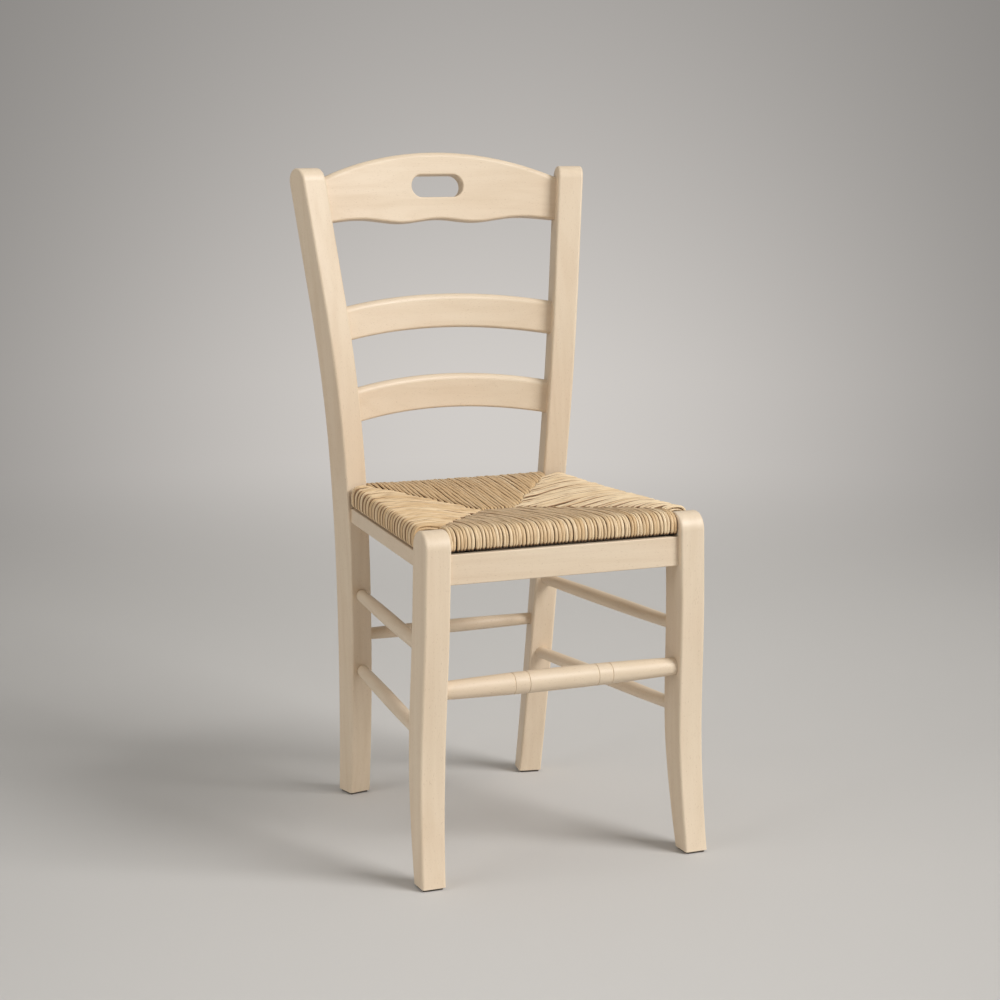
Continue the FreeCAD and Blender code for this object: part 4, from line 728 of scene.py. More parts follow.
def side_edge(y):
    """Half the width of the seat at y, over its rolled sides."""
    start, half = OUTLINE["side_place"]
    return half + OUTLINE["side_slope"] * (y - start)


def middle_line(settings):
    """Where the front and back rush meet."""
    return (OUTLINE["front"] + OUTLINE["rear"]) / 2 + settings.middle_back


def ways_in(x, y, settings):
    """Shares of the way to the middle line, from the side edge and from the end edge."""
    middle = middle_line(settings)
    wide = side_edge(y)
    edge = np.where(y < middle, OUTLINE["front"], OUTLINE["rear"])
    return (wide - np.abs(x)) / (wide - settings.middle_half), (y - edge) / (middle - edge)


def top_fall(share, settings):
    """How far the top lies below the roll, at a share of the way to the middle line."""
    lean = (share - settings.level) / (1 - settings.level)
    return settings.dish * 0.5 * (lean + np.sqrt(lean * lean + 0.01))


def tuck(depth, over, beside, drop):
    """How far a strand's end goes down past the crease: over its partner, or under it."""
    past = depth / beside
    if over:
        rise = TUCK_RISE * step_up(-2.2, -0.6, past)
        return rise - drop * step_up(0.25, 1.05, past)
    return -drop * step_up(-1.7, 0.1, past)


def strand_profile(run, settings):
    """The line of one loop in its own plane: distance from the edge, and height.

    A run's reach goes from the edge to the crease, and beside is its partner's width
    there. Its roll has the radius round and the height steep above, and the radius
    under below, where it lies lower than the CAD seat by hang. It rises by pillow on
    its way to the crease, and as a whole by lift.
    """
    half = settings.thick / 2
    under = run["under"] - half
    wide = run["round"]
    reach = run["reach"]
    base = OUTLINE["bottom"] + half - run["hang"]
    tail = run["beside"] if run["over"] else 0.5 * run["beside"]
    room = (OUTLINE["top"] - OUTLINE["bottom"]) - float(top_fall(run["share"], settings))
    drop = min(run["drop"], 0.5 * (room - settings.thick) - 0.0002)
    drop = max(drop, DROP_LEAST)
    upper = np.arange(wide, reach + tail, LINE_STEP)
    pillow = run["pillow"] * np.sin(math.pi * np.clip(upper / reach, 0, 1)) ** 2
    level = OUTLINE["top"] - half - top_fall(run["share"] * upper / reach, settings) + pillow
    top = level + tuck(upper - reach, run["over"], run["beside"], drop) + run["lift"]
    lower = np.arange(run["under"], reach + tail, LINE_STEP)
    bottom = base - tuck(lower - reach, run["over"], run["beside"], drop)
    turn = np.linspace(0, math.pi / 2, ROLL_STEPS)
    under_far = run["under"] - under * np.sin(turn)
    under_high = float(bottom[0]) + under * (1 - np.cos(turn))
    over_far = wide - (wide - half) * np.cos(turn)
    over_high = float(top[0]) - (run["steep"] - half) * (1 - np.sin(turn))
    far = np.concatenate([lower[::-1], under_far[1:], over_far[:-1], upper])
    high = np.concatenate([bottom[::-1], under_high[1:], over_high[:-1], top])
    return far, high


def ring_places(far, high):
    """Places for the rings of a tube: even on straight runs, closer in bends."""
    along_far = np.diff(far)
    along_high = np.diff(high)
    length = np.hypot(along_far, along_high)
    heading = np.unwrap(np.arctan2(along_high, along_far))
    turning = np.abs(np.diff(heading, prepend=heading[0]))
    effort = np.cumsum(length / RING_STEP + turning / RING_TURN)
    effort = np.concatenate([[0], effort])
    total = np.concatenate([[0], np.cumsum(length)])
    count = max(8, int(round(effort[-1])))
    wanted = np.linspace(0, effort[-1], count + 1)
    place = np.interp(wanted, effort, total)
    return place, np.interp(place, total, far), np.interp(place, total, high)


def strand_rings(run, settings, random):
    """The corners of one strand's tube, with what its material needs to know.

    On the roll a run is narrower by squeeze and moved aside by pair, and over thins
    metres before its crease it gets narrower by taper. loose is how far it strays to
    the side and bob how far up and down. On the top darker changes its tone, as painted
    shade on the top of the front and rear parts. The crown is 1 on top of a strand and
    lower towards its gaps, where the material paints shade in the gap colour. Painted
    shade lowers it further: foot_shade at the foot under the front roll, top_gap_shade
    on the top and parting_shade between two pairs on the roll.
    """
    far, high = strand_profile(run, settings)
    place, far, high = ring_places(far, high)
    slope_far = np.gradient(far, place)
    slope_high = np.gradient(high, place)
    size = np.hypot(slope_far, slope_high)
    out_far = -slope_high / size
    out_high = slope_far / size
    length = place[-1]
    wide = run["width"] / 2 * (1 + soft_wave(random, length, *WIDTH_WAVE)(place))
    rolled = 1 - step_up(*ROLL_FADES, far)
    ending = step_up(run["reach"] - run["thins"], run["reach"] + 0.001, far)
    wide = wide * (1 - run["squeeze"] * rolled) * (1 - run["taper"] * ending)
    tall = settings.thick / 2 * (1 + soft_wave(random, length, *HEIGHT_WAVE)(place))
    stray = soft_wave(random, length, STRAY_STEP, settings.wander)(place)
    small = soft_wave(random, length, SMALL_STRAY_STEP, settings.wander * 0.25)
    stray = stray + small(place)
    stray = stray * run["loose"] + run["pair"] * rolled
    bob = soft_wave(random, length, BOB_STEP, run["bob"])(place) * (1 - rolled)
    high = high + np.where(np.arange(len(place)) > len(place) / 2, bob, 0)
    angles = np.linspace(0, 2 * math.pi, TUBE_SIDES, endpoint=False)
    phase = random.uniform(0, 2 * math.pi)
    turned = angles[None, :] - (2 * math.pi * place / settings.twist + phase)[:, None]
    lobe = 1 - TWIST_GROOVE * (1 - np.abs(np.cos(turned)))
    across = wide[:, None] * np.sin(angles)[None, :] * lobe + stray[:, None]
    up = tall[:, None] * np.cos(angles)[None, :] * lobe
    spots = [
        FIBRE_RADIUS * np.cos(turned),
        FIBRE_RADIUS * np.sin(turned),
        np.repeat((place + run["seed"])[:, None], TUBE_SIDES, 1),
    ]
    crown = np.where(np.sin(angles) * run["open"] > 0.1, 0.95, np.cos(angles))[None, :]
    # Painted shade between two pairs on the roll, on the side that faces the gap between them
    parted = np.clip(-np.sin(angles) * np.sign(run["pair"]), 0, 1)[None, :]
    crown = crown - run["parting_shade"] * parted * step_up(*PARTING_SHADE_FADES, far)[:, None]
    # Painted shade under the front roll, where it sits on the front rail
    foot_shaded = step_up(*FOOT_SHADE_HEIGHTS, high - OUTLINE["bottom"]) * step_up(*FOOT_SHADE_FADES, far)
    crown = crown - run["foot_shade"] * FOOT_SHADE_DEPTH * foot_shaded[:, None]
    # Painted shade in the gaps on the top of the strands, away from the roll
    crown = crown - run["top_gap_shade"] * (1 - rolled)[:, None]
    # darker paints the top of the front and rear parts in a darker tone, as painted shade
    tone = np.clip(run["tone"] + run["darker"] * (1 - rolled), 0, 1)
    return {
        "far": far[:, None] + up * out_far[:, None],
        "high": high[:, None] + up * out_high[:, None],
        "across": run["across"] + across,
        "strand_place": np.stack(spots, -1).reshape(-1, 3),
        "strand_crown": crown.ravel(),
        "strand_tone": np.repeat(tone, TUBE_SIDES),
    }


def tube_faces(rings, sides, first):
    """Faces round a tube of rings, with a flat face at each end."""
    ring = np.arange(rings - 1)[:, None] * sides
    side = np.arange(sides)[None, :]
    next_side = (side + 1) % sides
    square = [ring + side, ring + next_side, ring + sides + next_side, ring + sides + side]
    faces = (np.stack(square, -1).reshape(-1, 4) + first).tolist()
    last = first + (rings - 1) * sides
    faces.append(list(range(first, first + sides))[::-1])
    faces.append(list(range(last, last + sides)))
    return faces


def add_piece(name, mesh, material):
    """A smooth object from a mesh, in the scene."""
    mesh.polygons.foreach_set("use_smooth", [True] * len(mesh.polygons))
    mesh.materials.append(material)
    piece = bpy.data.objects.new(name, mesh)
    bpy.context.scene.collection.objects.link(piece)
    return piece


def mesh_piece(name, corners, faces, values, material):
    """A new object from corners and faces, with values kept on its corners."""
    mesh = bpy.data.meshes.new(name)
    mesh.from_pydata(corners.tolist(), [], faces)
    for label, data in values.items():
        kind = "FLOAT_VECTOR" if data.ndim == 2 else "FLOAT"
        layer = mesh.attributes.new(label, kind, "POINT")
        field = "vector" if kind == "FLOAT_VECTOR" else "value"
        layer.data.foreach_set(field, data.astype(np.float32).ravel())
    whole = bmesh.new()
    whole.from_mesh(mesh)
    bmesh.ops.recalc_face_normals(whole, faces=whole.faces)
    whole.to_mesh(mesh)
    whole.free()
    return add_piece(name, mesh, material)


def corner_crease(settings, side, at_rear):
    """The crease of one corner, from its notch to the middle line, strand by strand."""
    count = settings.rear_corner if at_rear else settings.front_corner
    start_x = OUTLINE["rear_half"] if at_rear else OUTLINE["front_half"]
    start_y = OUTLINE["side_rear"] if at_rear else OUTLINE["side_front"]
    end_y = middle_line(settings)
    random = np.random.default_rng(CREASE_SEED + 2 * int(at_rear) + int(side > 0))
    wide = 1 + settings.uneven * random.uniform(-1, 1, count)
    wide = wide / wide.sum()
    steps = np.cumsum(wide) - wide / 2
    x = start_x + (settings.middle_half - start_x) * steps
    y = start_y + (end_y - start_y) * steps
    return x, y, wide * (start_x - settings.middle_half), wide * abs(end_y - start_y)


def corner_runs(settings, random, side, at_rear, from_end, ragged):
    """The strands between one corner and the middle line, from the end or the side edge."""
    edge = OUTLINE["rear"] if at_rear else OUTLINE["front"]
    middle = middle_line(settings)
    crease = corner_crease(settings, side, at_rear)
    strays = random.uniform(*ragged, len(crease[0]))
    runs = []
    for count, (x, y, wide_x, wide_y, stray) in enumerate(zip(*crease, strays)):
        run = {
            "share": abs(y - edge) / abs(middle - edge),
            # Round the seat, each side part lies over the part before it
            "over": ((side < 0) == at_rear) == from_end,
            # A strand goes down less at its crease near the corners
            "drop": 0.0018 + 0.0011 * max(0, count - 2),
        }
        if from_end:
            run.update(across=side * x, reach=abs(y - edge) + stray, width=wide_x, beside=wide_y)
        else:
            run.update(across=y, reach=side_edge(y) - x + stray, width=wide_y, beside=wide_x)
        runs.append(run)
    return runs


def end_runs(settings, random, at_rear):
    """The strands of the front or the back part of the weave."""
    runs = []
    for side in (-1, 1):
        runs += corner_runs(settings, random, side, at_rear, True, (-0.0042, 0.0026))
    edge = OUTLINE["rear"] if at_rear else OUTLINE["front"]
    to_middle = abs(middle_line(settings) - edge)
    half = settings.middle_half
    wide = 1 + settings.uneven * random.uniform(-1, 1, settings.middle)
    wide = wide / wide.sum() * 2 * half
    for x, width in zip(np.cumsum(wide) - wide / 2 - half, wide):
        runs.append(
            {
                "across": x,
                "reach": to_middle - 0.0012 + random.uniform(-0.001, 0.001),
                "share": 1.0,
                "over": False,
                "beside": 0.0035,
                "width": width,
                "drop": 0.004,
                "taper": 0.15,
            }
        )
    shape = {
        "pair": 0.0,
        "squeeze": 0.0,
        "loose": 1.0,
        "bob": 0.0003,
        "round": 0.019,
        "steep": settings.over_round,
        "pillow": 0.0012 if at_rear else 0.0008,
        "under": 0.0040 if at_rear else settings.under_round,
        "hang": 0.0010 if at_rear else 0.0,
        # Painted shade under the roll, on the front part only
        "foot_shade": 0.0 if at_rear else 1.0,
        # Painted shade on the top: more on the rear part than the front
        "darker": 0.62 if at_rear else 0.28,
        # Painted shade in the gaps on the top, more on the front part than the rear
        "top_gap_shade": 0.08 if at_rear else 0.34,
        "parting_shade": 0.0,
    }
    for run in runs:
        run.setdefault("taper", 0.34 if run["over"] else 0.45)
        run["thins"] = 0.030 if run["over"] else 0.016
        run.update(shape)
    return dress_runs(runs, random, 0.06, 0.0004)


def side_runs(settings, random, side):
    """The strands of the left or the right part of the weave."""
    runs = []
    for at_rear in (False, True):
        runs += corner_runs(settings, random, side, at_rear, False, (-0.0046, 0.0034))
    runs.sort(key=lambda run: run["across"])
    on_left = side < 0
    shape = {
        "squeeze": 0.17,
        "loose": 1.6,
        "bob": 0.0005,
        "round": 0.0105,
        "steep": settings.over_round * 0.85,
        "pillow": 0.0024,
        "under": settings.under_round,
        "hang": 0.0,
        "foot_shade": 0.0,
        "darker": 0.0,
        # Painted shade in the gaps on the top of the right part, none on the left
        "top_gap_shade": 0.0 if on_left else 0.22,
        "parting_shade": 0.85 if on_left else 0.45,
    }
    for count, run in enumerate(runs):
        # On the rolled edge the strands are pushed together two by two
        push = 0.11 if count % 2 == 0 else -0.11
        run["pair"] = run["width"] * (push + random.uniform(-0.03, 0.03))
        run["taper"] = 0.30 if run["over"] else 0.40
        run["thins"] = 0.022 if run["over"] else 0.014
        run.update(shape)
    # The left part is painted more golden and the right part paler: painted shade on the left and
    # painted light on the right
    return dress_runs(runs, random, 0.30 if on_left else -0.30, 0.0006)


def dress_runs(runs, random, golden, uneven):
    """Gives strands their own tone and lift, and fills in under the outermost ones."""
    runs.sort(key=lambda run: run["across"])
    for run in runs:
        run["across"] += random.uniform(-0.00022, 0.00022)
        run["width"] *= random.uniform(0.97, 1.03)
        run["lift"] = random.uniform(-uneven, uneven)
        # golden shifts a whole part's tone: painted shade where it is above nought, painted light
        # where it is below
        run["tone"] = min(1.0, max(0.0, random.uniform(0.05, 0.80) + golden))
        run["seed"] = random.uniform(0, 40)
        run["open"] = 0.0
    fillers = []
    for run, open_side in ((runs[0], -1.0), (runs[-1], 1.0)):
        run.update(open=open_side, lift=0.0, pair=0.0)
        filler = dict(run, lift=-FILLER_DROP)
        filler["round"] += FILLER_SET_IN
        filler["seed"] += 3.0
        fillers.append(filler)
    return [fillers[0]] + runs + [fillers[1]]


def lay_strand(part, rings):
    """A strand's corners on the chair: from its own edge towards the middle."""
    across = rings["across"]
    if part in ("front", "rear"):
        way = 1 if part == "front" else -1
        spots = [across, OUTLINE[part] + way * rings["far"], rings["high"]]
    else:
        way = 1 if part == "right" else -1
        spots = [way * (side_edge(across) - rings["far"]), across, rings["high"]]
    return np.stack(spots, -1).reshape(-1, 3)


def weave_part(part, runs, settings, random, material):
    """The front, rear, left or right part of the weave, all its strands in one piece."""
    strands = [strand_rings(run, settings, random) for run in runs]
    corners = [lay_strand(part, rings) for rings in strands]
    faces = []
    first = 0
    for rings in strands:
        faces.extend(tube_faces(*rings["far"].shape, first))
        first += rings["far"].size
    values = {
        label: np.concatenate([rings[label] for rings in strands])
        for label in ("strand_place", "strand_crown", "strand_tone")
    }
    piece = mesh_piece("rush_" + part, np.concatenate(corners), faces, values, material)
    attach(piece, "root")
    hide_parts("rush_seat")
    return piece


# Straw packing


def straw_stem(random, centre, heading, length, radius, limit):
    """One bent stem of straw inside the packing."""
    steps = np.linspace(-0.5, 0.5, STEM_RINGS)
    bend = random.uniform(-0.08, 0.08) * length * (1 - 4 * steps * steps)
    along_x = math.cos(heading)
    along_y = math.sin(heading)
    x = centre[0] + along_x * steps * length - along_y * bend
    y = centre[1] + along_y * steps * length + along_x * bend
    z = np.clip(centre[2] + random.uniform(-0.06, 0.06) * steps * length, *limit)
    angles = np.linspace(0, 2 * math.pi, STEM_SIDES, endpoint=False)
    out = radius * np.cos(angles)[None, :]
    up = radius * np.sin(angles)[None, :]
    ring = [x[:, None] - out * along_y, y[:, None] + out * along_x, z[:, None] + up]
    flat = np.zeros((STEM_RINGS, STEM_SIDES))
    place = [out + flat, up + flat, ((steps + 0.5) * length)[:, None] + flat]
    return np.stack(ring, -1).reshape(-1, 3), np.stack(place, -1).reshape(-1, 3)


def straw_stems(settings, random):
    """The loose stems in the four pockets of the weave, each along its strands."""
    low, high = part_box("straw_packing")
    floor = OUTLINE["bottom"] + settings.thick
    corners = []
    places = []
    while len(corners) < STEMS:
        x = random.uniform(low.x * 0.62, high.x * 0.62)
        y = random.uniform(low.y + 0.03, high.y - 0.03)
        from_side, from_end = ways_in(x, y, settings)
        share = min(from_side, from_end)
        if share < POCKET[0] or share > POCKET[1]:
            continue
        roof = OUTLINE["top"] - float(top_fall(share + 0.10, settings)) - settings.thick
        radius = random.uniform(*STEM_RADII)
        limit = (floor + radius, max(floor + 1.5 * radius, roof - 0.003))
        heading = math.pi / 2 if from_end < from_side else 0.0
        heading += random.uniform(-STEM_SWAY, STEM_SWAY)
        length = random.uniform(*STEM_LENGTHS)
        centre = (x, y, random.uniform(*limit))
        stem, place = straw_stem(random, centre, heading, length, radius, limit)
        corners.append(stem)
        places.append(place + np.array([0, 0, random.uniform(0, 40)]))
    faces = []
    for count in range(STEMS):
        faces.extend(tube_faces(STEM_RINGS, STEM_SIDES, count * STEM_RINGS * STEM_SIDES))
    return np.concatenate(corners), faces, np.concatenate(places)


def straw_core(settings):
    """The pressed heart of the packing, between the upper and lower strands."""
    count = CORE_STEPS
    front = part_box("seat_frame_front")[1].y
    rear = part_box("seat_frame_rear")[0].y
    steps = np.linspace(0, 1, count)
    y = (front + (rear - front) * steps)[:, None] + 0 * steps[None, :]
    x = (side_edge(y) - FRAME_RAIL) * (2 * steps[None, :] - 1)
    share = np.clip(np.minimum(*ways_in(x, y, settings)), 0, 1)
    clear = settings.thick + CORE_CLEAR
    low = OUTLINE["bottom"] + clear + 0 * x
    high = np.maximum(OUTLINE["top"] - top_fall(share, settings) - clear, low + CORE_CLEAR)
    corners = np.concatenate([np.stack([x, y, z], -1).reshape(-1, 3) for z in (high, low)])
    grid = np.arange(count * count).reshape(count, count)
    under = count * count
    square = [grid[:-1, :-1], grid[:-1, 1:], grid[1:, 1:], grid[1:, :-1]]
    square = np.stack(square, -1).reshape(-1, 4)
    rim = [*grid[0, :-1], *grid[:-1, -1], *grid[-1, :0:-1], *grid[:0:-1, 0]]
    sides = zip(rim, rim[1:] + rim[:1])
    rims = [[after, corner, corner + under, after + under] for corner, after in sides]
    faces = np.concatenate([square, square[:, ::-1] + under, rims]).tolist()
    place = np.stack([corners[:, 1] + 1.0, corners[:, 2], corners[:, 0]], -1)
    return corners, faces, place


# The operators, one for each piece or group of like pieces


class CHAIR_OT_finish_uprights(bpy.types.Operator):
    """Gives the legs and posts beech with its grain running up"""

    bl_idname = "chair.finish_uprights"
    bl_label = "Legs and posts"

    def execute(self, context):
        wood = context.scene.chair.wood
        finish_in_beech(UPRIGHTS, GRAIN_UP, wood, 1, (0.02, 0.0, 0.05, 0.03))
        return {"FINISHED"}


class CHAIR_OT_finish_back(bpy.types.Operator):
    """Gives the crest rail and the slats beech with its grain running across"""

    bl_idname = "chair.finish_back"
    bl_label = "Crest rail and slats"

    def execute(self, context):
        wood = context.scene.chair.wood
        finish_in_beech(BACK_PIECES, GRAIN_ACROSS, wood, 7, (0.18, 0.10, 0.04))
        return {"FINISHED"}


class CHAIR_OT_finish_cross_rails(bpy.types.Operator):
    """Gives the front and rear rails and stretchers beech with its grain running across"""

    bl_idname = "chair.finish_cross_rails"
    bl_label = "Front and rear rails"

    def execute(self, context):
        wood = context.scene.chair.wood
        finish_in_beech(CROSS_PIECES, GRAIN_ACROSS, wood, 12, (0.01, 0.05, 0.0, 0.04))
        return {"FINISHED"}


class CHAIR_OT_finish_side_rails(bpy.types.Operator):
    """Gives the side rails and side stretchers beech with its grain running back"""

    bl_idname = "chair.finish_side_rails"
    bl_label = "Side rails and stretchers"

    def execute(self, context):
        wood = context.scene.chair.wood
        finish_in_beech(SIDE_PIECES, GRAIN_BACKWARDS, wood, 18, (0.03, 0.0, 0.02))
        return {"FINISHED"}


class CHAIR_OT_finish_seat_frame(bpy.types.Operator):
    """Gives the drop-in frame, the corner blocks and the dowels planed bare beech"""

    bl_idname = "chair.finish_seat_frame"
    bl_label = "Seat frame, blocks and dowels"

    def execute(self, context):
        wood = context.scene.chair.wood
        finish_in_beech(FRAME_ACROSS, GRAIN_ACROSS, wood, 26, (0.0, 0.06), bare=True)
        finish_in_beech(FRAME_ALONG, GRAIN_BACKWARDS, wood, 29, (0.04, 0.0), bare=True)
        finish_in_beech(CORNER_BLOCKS, GRAIN_DIAGONAL, wood, 33, (0.0, 0.08, 0.04), bare=True)
        finish_in_beech(DOWELS, GRAIN_ACROSS, wood, 39, (0.02, 0.05), bare=True)
        return {"FINISHED"}


class CHAIR_OT_finish_fittings(bpy.types.Operator):
    """Gives the screws and nails zinc plating and the glides moulded plastic"""

    bl_idname = "chair.finish_fittings"
    bl_label = "Screws, nails and glides"

    def execute(self, context):
        fittings = context.scene.chair.fittings
        zinc = zinc_material(fittings)
        for node in SCREWS:
            give_material(node, zinc)
        plastic = glide_material(fittings)
        for node in GLIDES:
            give_material(node, plastic)
        return {"FINISHED"}


class CHAIR_OT_weave_rush_seat(bpy.types.Operator):
    """Weaves the four parts of the rush seat, strand by strand"""

    bl_idname = "chair.weave_rush_seat"
    bl_label = "Rush seat"

    def execute(self, context):
        rush = context.scene.chair.rush
        random = np.random.default_rng(WEAVE_SEED)
        parts = {
            "front": end_runs(rush, random, False),
            "rear": end_runs(rush, random, True),
            "left": side_runs(rush, random, -1),
            "right": side_runs(rush, random, 1),
        }
        material = rush_material(rush)
        for part, runs in parts.items():
            weave_part(part, runs, rush, random, material)
        return {"FINISHED"}


class CHAIR_OT_stuff_seat(bpy.types.Operator):
    """Fills the four pockets of the weave with loose straw"""

    bl_idname = "chair.stuff_seat"
    bl_label = "Straw packing"

    def execute(self, context):
        rush = context.scene.chair.rush
        random = np.random.default_rng(STRAW_SEED)
        stems, faces, places = straw_stems(rush, random)
        heart, heart_faces, heart_places = straw_core(rush)
        first = len(stems)
        heart_values = np.ones(len(heart))
        faces += [[first + corner for corner in face] for face in heart_faces]
        tones = random.uniform(0.2, 0.9, first)
        values = {
            "strand_place": np.concatenate([places, heart_places]),
            "strand_crown": np.concatenate([np.ones(first), 0.2 * heart_values]),
            "strand_tone": np.concatenate([tones, 0.8 * heart_values]),
        }
        corners = np.concatenate([stems, heart])
        straw = mesh_piece("straw_stuffing", corners, faces, values, straw_material(rush))
        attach(straw, "root")
        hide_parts("straw_packing")
        return {"FINISHED"}


class CHAIR_OT_set_stage(bpy.types.Operator):
    """Sets the floor and backdrop, the lamps and the camera"""

    bl_idname = "chair.set_stage"
    bl_label = "Floor, light and camera"

    def execute(self, context):
        stage = context.scene.chair.stage
        add_backdrop(stage)
        add_lights(stage)
        add_camera()
        return {"FINISHED"}


# Floor, light and camera


def bell(tree, label, place, value, width):
    """A bell curve of a value: 1 at nought, falling off over a width."""
    share = sum_up(tree, label + " share", place, "DIVIDE", value, width)
    square = sum_up(tree, label + " square", (place[0] + 1, place[1]), "MULTIPLY", share, share)
    fall = sum_up(tree, label + " fall", (place[0] + 2, place[1]), "MULTIPLY", square, -1.0)
    return sum_up(tree, label, (place[0] + 3, place[1]), "EXPONENT", fall)


def pool_of_light(tree, label, row, across, away):
    """A pool of light on the wall, wider the further away the wall is."""
    reach = sum_up(tree, label + " reach", (3, row), "ABSOLUTE", away)
    longer = sum_up(tree, label + " longer", (4, row), "ADD", reach, CAMERA_REACH)
    wide = sum_up(tree, label + " width", (5, row), "MULTIPLY", longer, POOL_SPREAD)
    return bell(tree, label, (6, row), across, wide)


def wall_light(tree, spot, across, away):
    """The wall's own glow, lightest behind the chair and fading with its height."""
    behind = pool_of_light(tree, "Light behind", 4, across, away)
    beside = pool_of_light(tree, "Light beside", 6, away, across)
    pools = sum_up(tree, "Pools of light", (10, 5), "ADD", behind, beside)
    parts = add_node(tree, "ShaderNodeSeparateXYZ", "Parts", (2, 8))
    feed(tree, spot, parts.inputs[0])
    lifted = sum_up(tree, "Above the floor", (3, 8), "ADD", parts.outputs[2], 0.02)
    risen = sum_up(tree, "Rise", (4, 8), "POWER", lifted, 0.5)
    height = bell(tree, "Height", (5, 8), risen, GLOW_HEIGHT)
    lit = sum_up(tree, "Lit wall", (11, 5), "MULTIPLY", pools, height)
    level = ramp(tree, "Wall level", (12, 5), lit, 0.0, 1.0, *WALL_LEVELS, "LINEAR")
    tinted = add_node(tree, "ShaderNodeVectorMath", "Wall colour", (13, 5), operation="SCALE")
    tinted.inputs[0].default_value = WALL_TINT
    feed(tree, level, tinted.inputs["Scale"])
    wall = add_node(tree, "ShaderNodeEmission", "Wall as seen", (14, 5))
    feed(tree, tinted.outputs[0], wall.inputs["Color"])
    return wall.outputs[0]


def wall_share(tree, spot):
    """How much of the glow is seen: far off, and only by camera, mirror and glass rays."""
    flat = vector_math(tree, "On the floor", (2, 10), "MULTIPLY", spot, (1.0, 1.0, 0.0))
    distance = vector_math(tree, "Far off", (3, 10), "LENGTH", flat)
    far = ramp(tree, "Far share", (4, 10), distance, *WALL_STARTS)
    path = add_node(tree, "ShaderNodeLightPath", "Kind of ray", (3, 12)).outputs
    seen = sum_up(
        tree, "Seen or mirrored", (4, 12), "ADD", path["Is Camera Ray"], path["Is Glossy Ray"]
    )
    shown = sum_up(
        tree, "Seen at all", (5, 12), "ADD", seen, path["Is Transmission Ray"], clamp=True
    )
    return sum_up(tree, "Wall share", (6, 11), "MULTIPLY", far, shown)


def backdrop_material(stage):
    """Pale painted floor, and a wall that is lightest behind the chair."""
    material, tree = new_material("Studio floor")
    spot = object_place(tree, (0, 0))
    cloud = noise(tree, "Uneven paint", (1, 0), spot, 0.35, 3, 0.5)
    share = ramp(tree, "Uneven share", (3, 0), cloud, 0.3, 0.7, 0.0, 0.04)
    paint = blend_colour(
        tree, "Paint", (5, 0), share, with_alpha(stage.floor), (0.40, 0.39, 0.38, 1)
    )
    across = vector_math(tree, "Across", (2, 3), "DOT_PRODUCT", spot, ACROSS_VIEW)
    away = vector_math(tree, "Away", (2, 5), "DOT_PRODUCT", spot, ALONG_VIEW)
    middle = bell(tree, "Middle of the floor", (3, 2), across, FLOOR_MIDDLE)
    levels = (FLOOR_EDGE_SHADE, 1.0)
    shade = ramp(tree, "Floor shade", (7, 2), middle, 0.0, 1.0, *levels, "LINEAR")
    painted = blend_colour(tree, "Shaded paint", (8, 0), 1.0, paint, shade, "MULTIPLY")
    fine = noise(tree, "Paint skin", (1, 2), spot, 260, 3, 0.6)
    rough = ramp(tree, "Paint roughness", (5, 1), fine, 0.3, 0.7, 0.74, 0.86)
    shader, output = add_shader(tree, {"IOR": 1.4}, painted, rough)
    blended = add_node(tree, "ShaderNodeMixShader", "Floor to wall", (15, 2))
    feed(tree, wall_share(tree, spot), blended.inputs[0])
    feed(tree, shader.outputs[0], blended.inputs[1])
    feed(tree, wall_light(tree, spot, across, away), blended.inputs[2])
    feed(tree, blended.outputs[0], output.inputs["Surface"])
    return material


def add_backdrop(stage):
    """A round floor that curves up into a wall all round, so it works from any side."""
    flat = np.linspace(0.0, FLOOR_REACH, 12)
    turn = np.linspace(0, math.pi / 2, 25)[1:]
    wall = [FLOOR_REACH + FLOOR_CURVE] * len(WALL_HEIGHTS)
    radii = np.concatenate([flat, FLOOR_REACH + FLOOR_CURVE * np.sin(turn), wall])
    curve = FLOOR_CURVE - FLOOR_CURVE * np.cos(turn)
    heights = np.concatenate([0 * flat, curve, WALL_HEIGHTS])
    angles = np.linspace(0, 2 * math.pi, FLOOR_SIDES, endpoint=False)
    corners = [(0.0, 0.0, 0.0)]
    for radius, height in zip(radii[1:], heights[1:]):
        for angle in angles:
            corners.append((radius * math.cos(angle), radius * math.sin(angle), height))
    faces = []
    for step in range(FLOOR_SIDES):
        after = (step + 1) % FLOOR_SIDES
        faces.append([0, 1 + step, 1 + after])
        for ring in range(len(radii) - 2):
            low = 1 + ring * FLOOR_SIDES
            high = low + FLOOR_SIDES
            faces.append([low + step, high + step, high + after, low + after])
    mesh = bpy.data.meshes.new("studio_floor")
    mesh.from_pydata(corners, [], faces)
    floor = add_piece("studio_floor", mesh, backdrop_material(stage))


def add_lamp(name, place, size, power, colour):
    """A soft square lamp at place, aimed at the chair."""
    lamp = bpy.data.lights.new(name, "AREA")
    lamp.shape = "RECTANGLE"
    lamp.size = size[0]
    lamp.size_y = size[1]
    lamp.energy = power
    lamp.color = colour
    holder = bpy.data.objects.new(name, lamp)
    holder.visible_camera = False
    holder.location = place
    way = Vector(LAMP_AIM) - Vector(place)
    holder.rotation_euler = way.to_track_quat("-Z", "Y").to_euler()
    bpy.context.scene.collection.objects.link(holder)


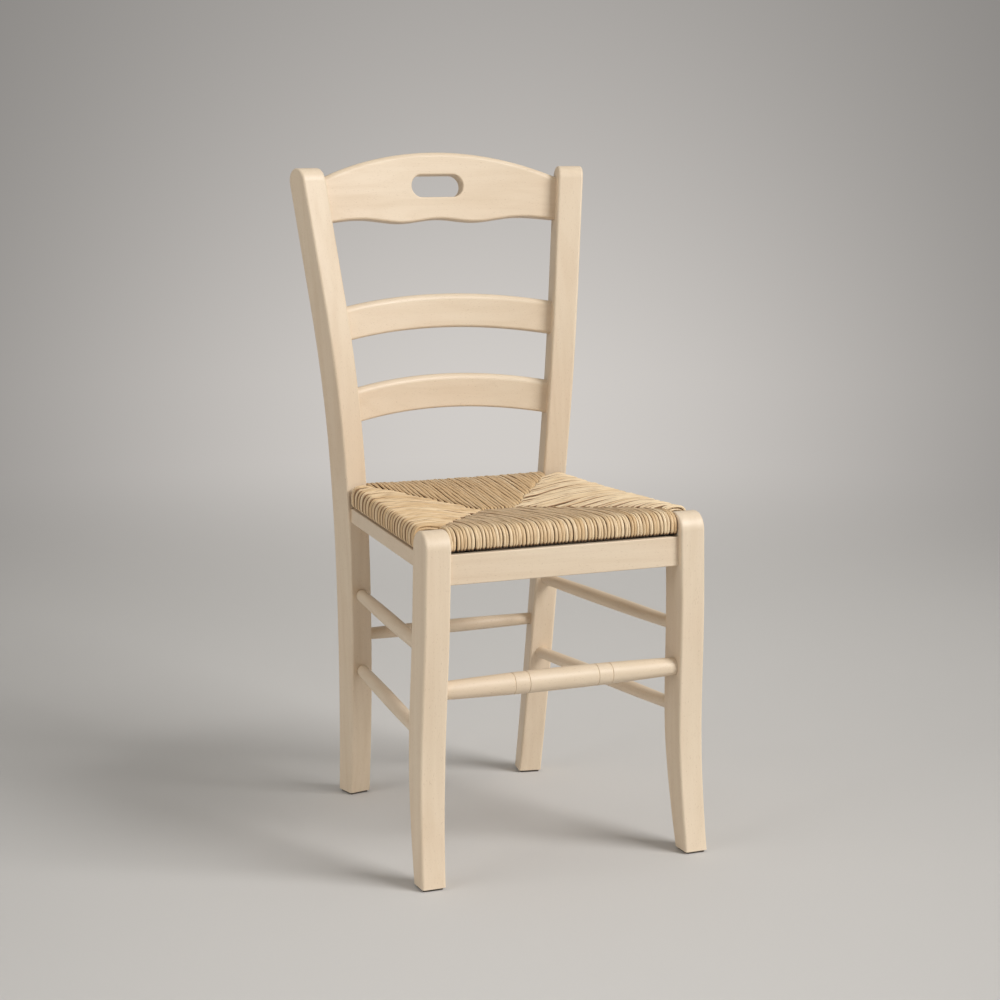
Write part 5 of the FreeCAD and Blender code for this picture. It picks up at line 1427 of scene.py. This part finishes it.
def add_lights(stage):
    """A large soft lamp from the right in front, a weak one from the left, and even light."""
    add_lamp(
        "main_lamp", place=(4.4, -5.16, 4.65), size=(4, 4), power=stage.key, colour=(1, 0.99, 0.975)
    )
    add_lamp(
        "side_lamp", place=(-5.0, -0.7, 1.9), size=(3.6, 3), power=stage.fill, colour=(1, 0.985, 0.96)
    )
    world = bpy.data.worlds.new("Even light")
    world.use_nodes = True
    sky = world.node_tree.nodes["Background"]
    sky.inputs["Color"].default_value = (1.0, 0.98, 0.93, 1)
    sky.inputs["Strength"].default_value = stage.surround
    bpy.context.scene.world = world


def add_camera():
    """The camera where the photograph was taken from."""
    lens = bpy.data.cameras.new("camera")
    lens.lens = CAMERA_LENS
    lens.sensor_width = 36.0
    lens.clip_start = 0.05
    lens.clip_end = 60.0
    camera = bpy.data.objects.new("camera", lens)
    camera.location = CAMERA_PLACE
    camera.rotation_euler = (math.pi / 2 - CAMERA_DOWN, CAMERA_ROLL, CAMERA_TURN)
    bpy.context.scene.collection.objects.link(camera)
    bpy.context.scene.camera = camera


class CHAIR_PT_pieces(bpy.types.Panel):
    """The chair's pieces and settings in the sidebar"""

    bl_idname = "CHAIR_PT_pieces"
    bl_label = "Ladderback chair"
    bl_space_type = "VIEW_3D"
    bl_region_type = "UI"
    bl_category = "Chair"

    def draw(self, context):
        layout = self.layout
        for operator in OPERATORS:
            layout.operator(operator.bl_idname)
        chair = context.scene.chair
        for title in ("wood", "rush", "fittings", "stage"):
            group = getattr(chair, title)
            box = layout.box()
            box.label(text=title.capitalize())
            for name in group.bl_rna.properties.keys():
                if name not in ("rna_type", "name"):
                    box.prop(group, name)


OPERATORS = (
    CHAIR_OT_set_stage,
    CHAIR_OT_finish_uprights,
    CHAIR_OT_finish_back,
    CHAIR_OT_finish_cross_rails,
    CHAIR_OT_finish_side_rails,
    CHAIR_OT_finish_seat_frame,
    CHAIR_OT_finish_fittings,
    CHAIR_OT_weave_rush_seat,
    CHAIR_OT_stuff_seat,
)
SETTINGS = (
    WoodSettings,
    RushSettings,
    FittingSettings,
    StageSettings,
    ChairSettings,
)


def register():
    for one in SETTINGS + OPERATORS + (CHAIR_PT_pieces,):
        bpy.utils.register_class(one)
    bpy.types.Scene.chair = PointerProperty(type=ChairSettings)


def unregister():
    del bpy.types.Scene.chair
    for one in reversed(SETTINGS + OPERATORS + (CHAIR_PT_pieces,)):
        bpy.utils.unregister_class(one)


def main():
    register()
    bpy.context.scene.view_settings.view_transform = "Standard"
    bpy.ops.chair.set_stage()
    bpy.ops.chair.finish_uprights()
    bpy.ops.chair.finish_back()
    bpy.ops.chair.finish_cross_rails()
    bpy.ops.chair.finish_side_rails()
    bpy.ops.chair.finish_seat_frame()
    bpy.ops.chair.finish_fittings()
    bpy.ops.chair.weave_rush_seat()
    bpy.ops.chair.stuff_seat()


if __name__ == "__main__":
    main()
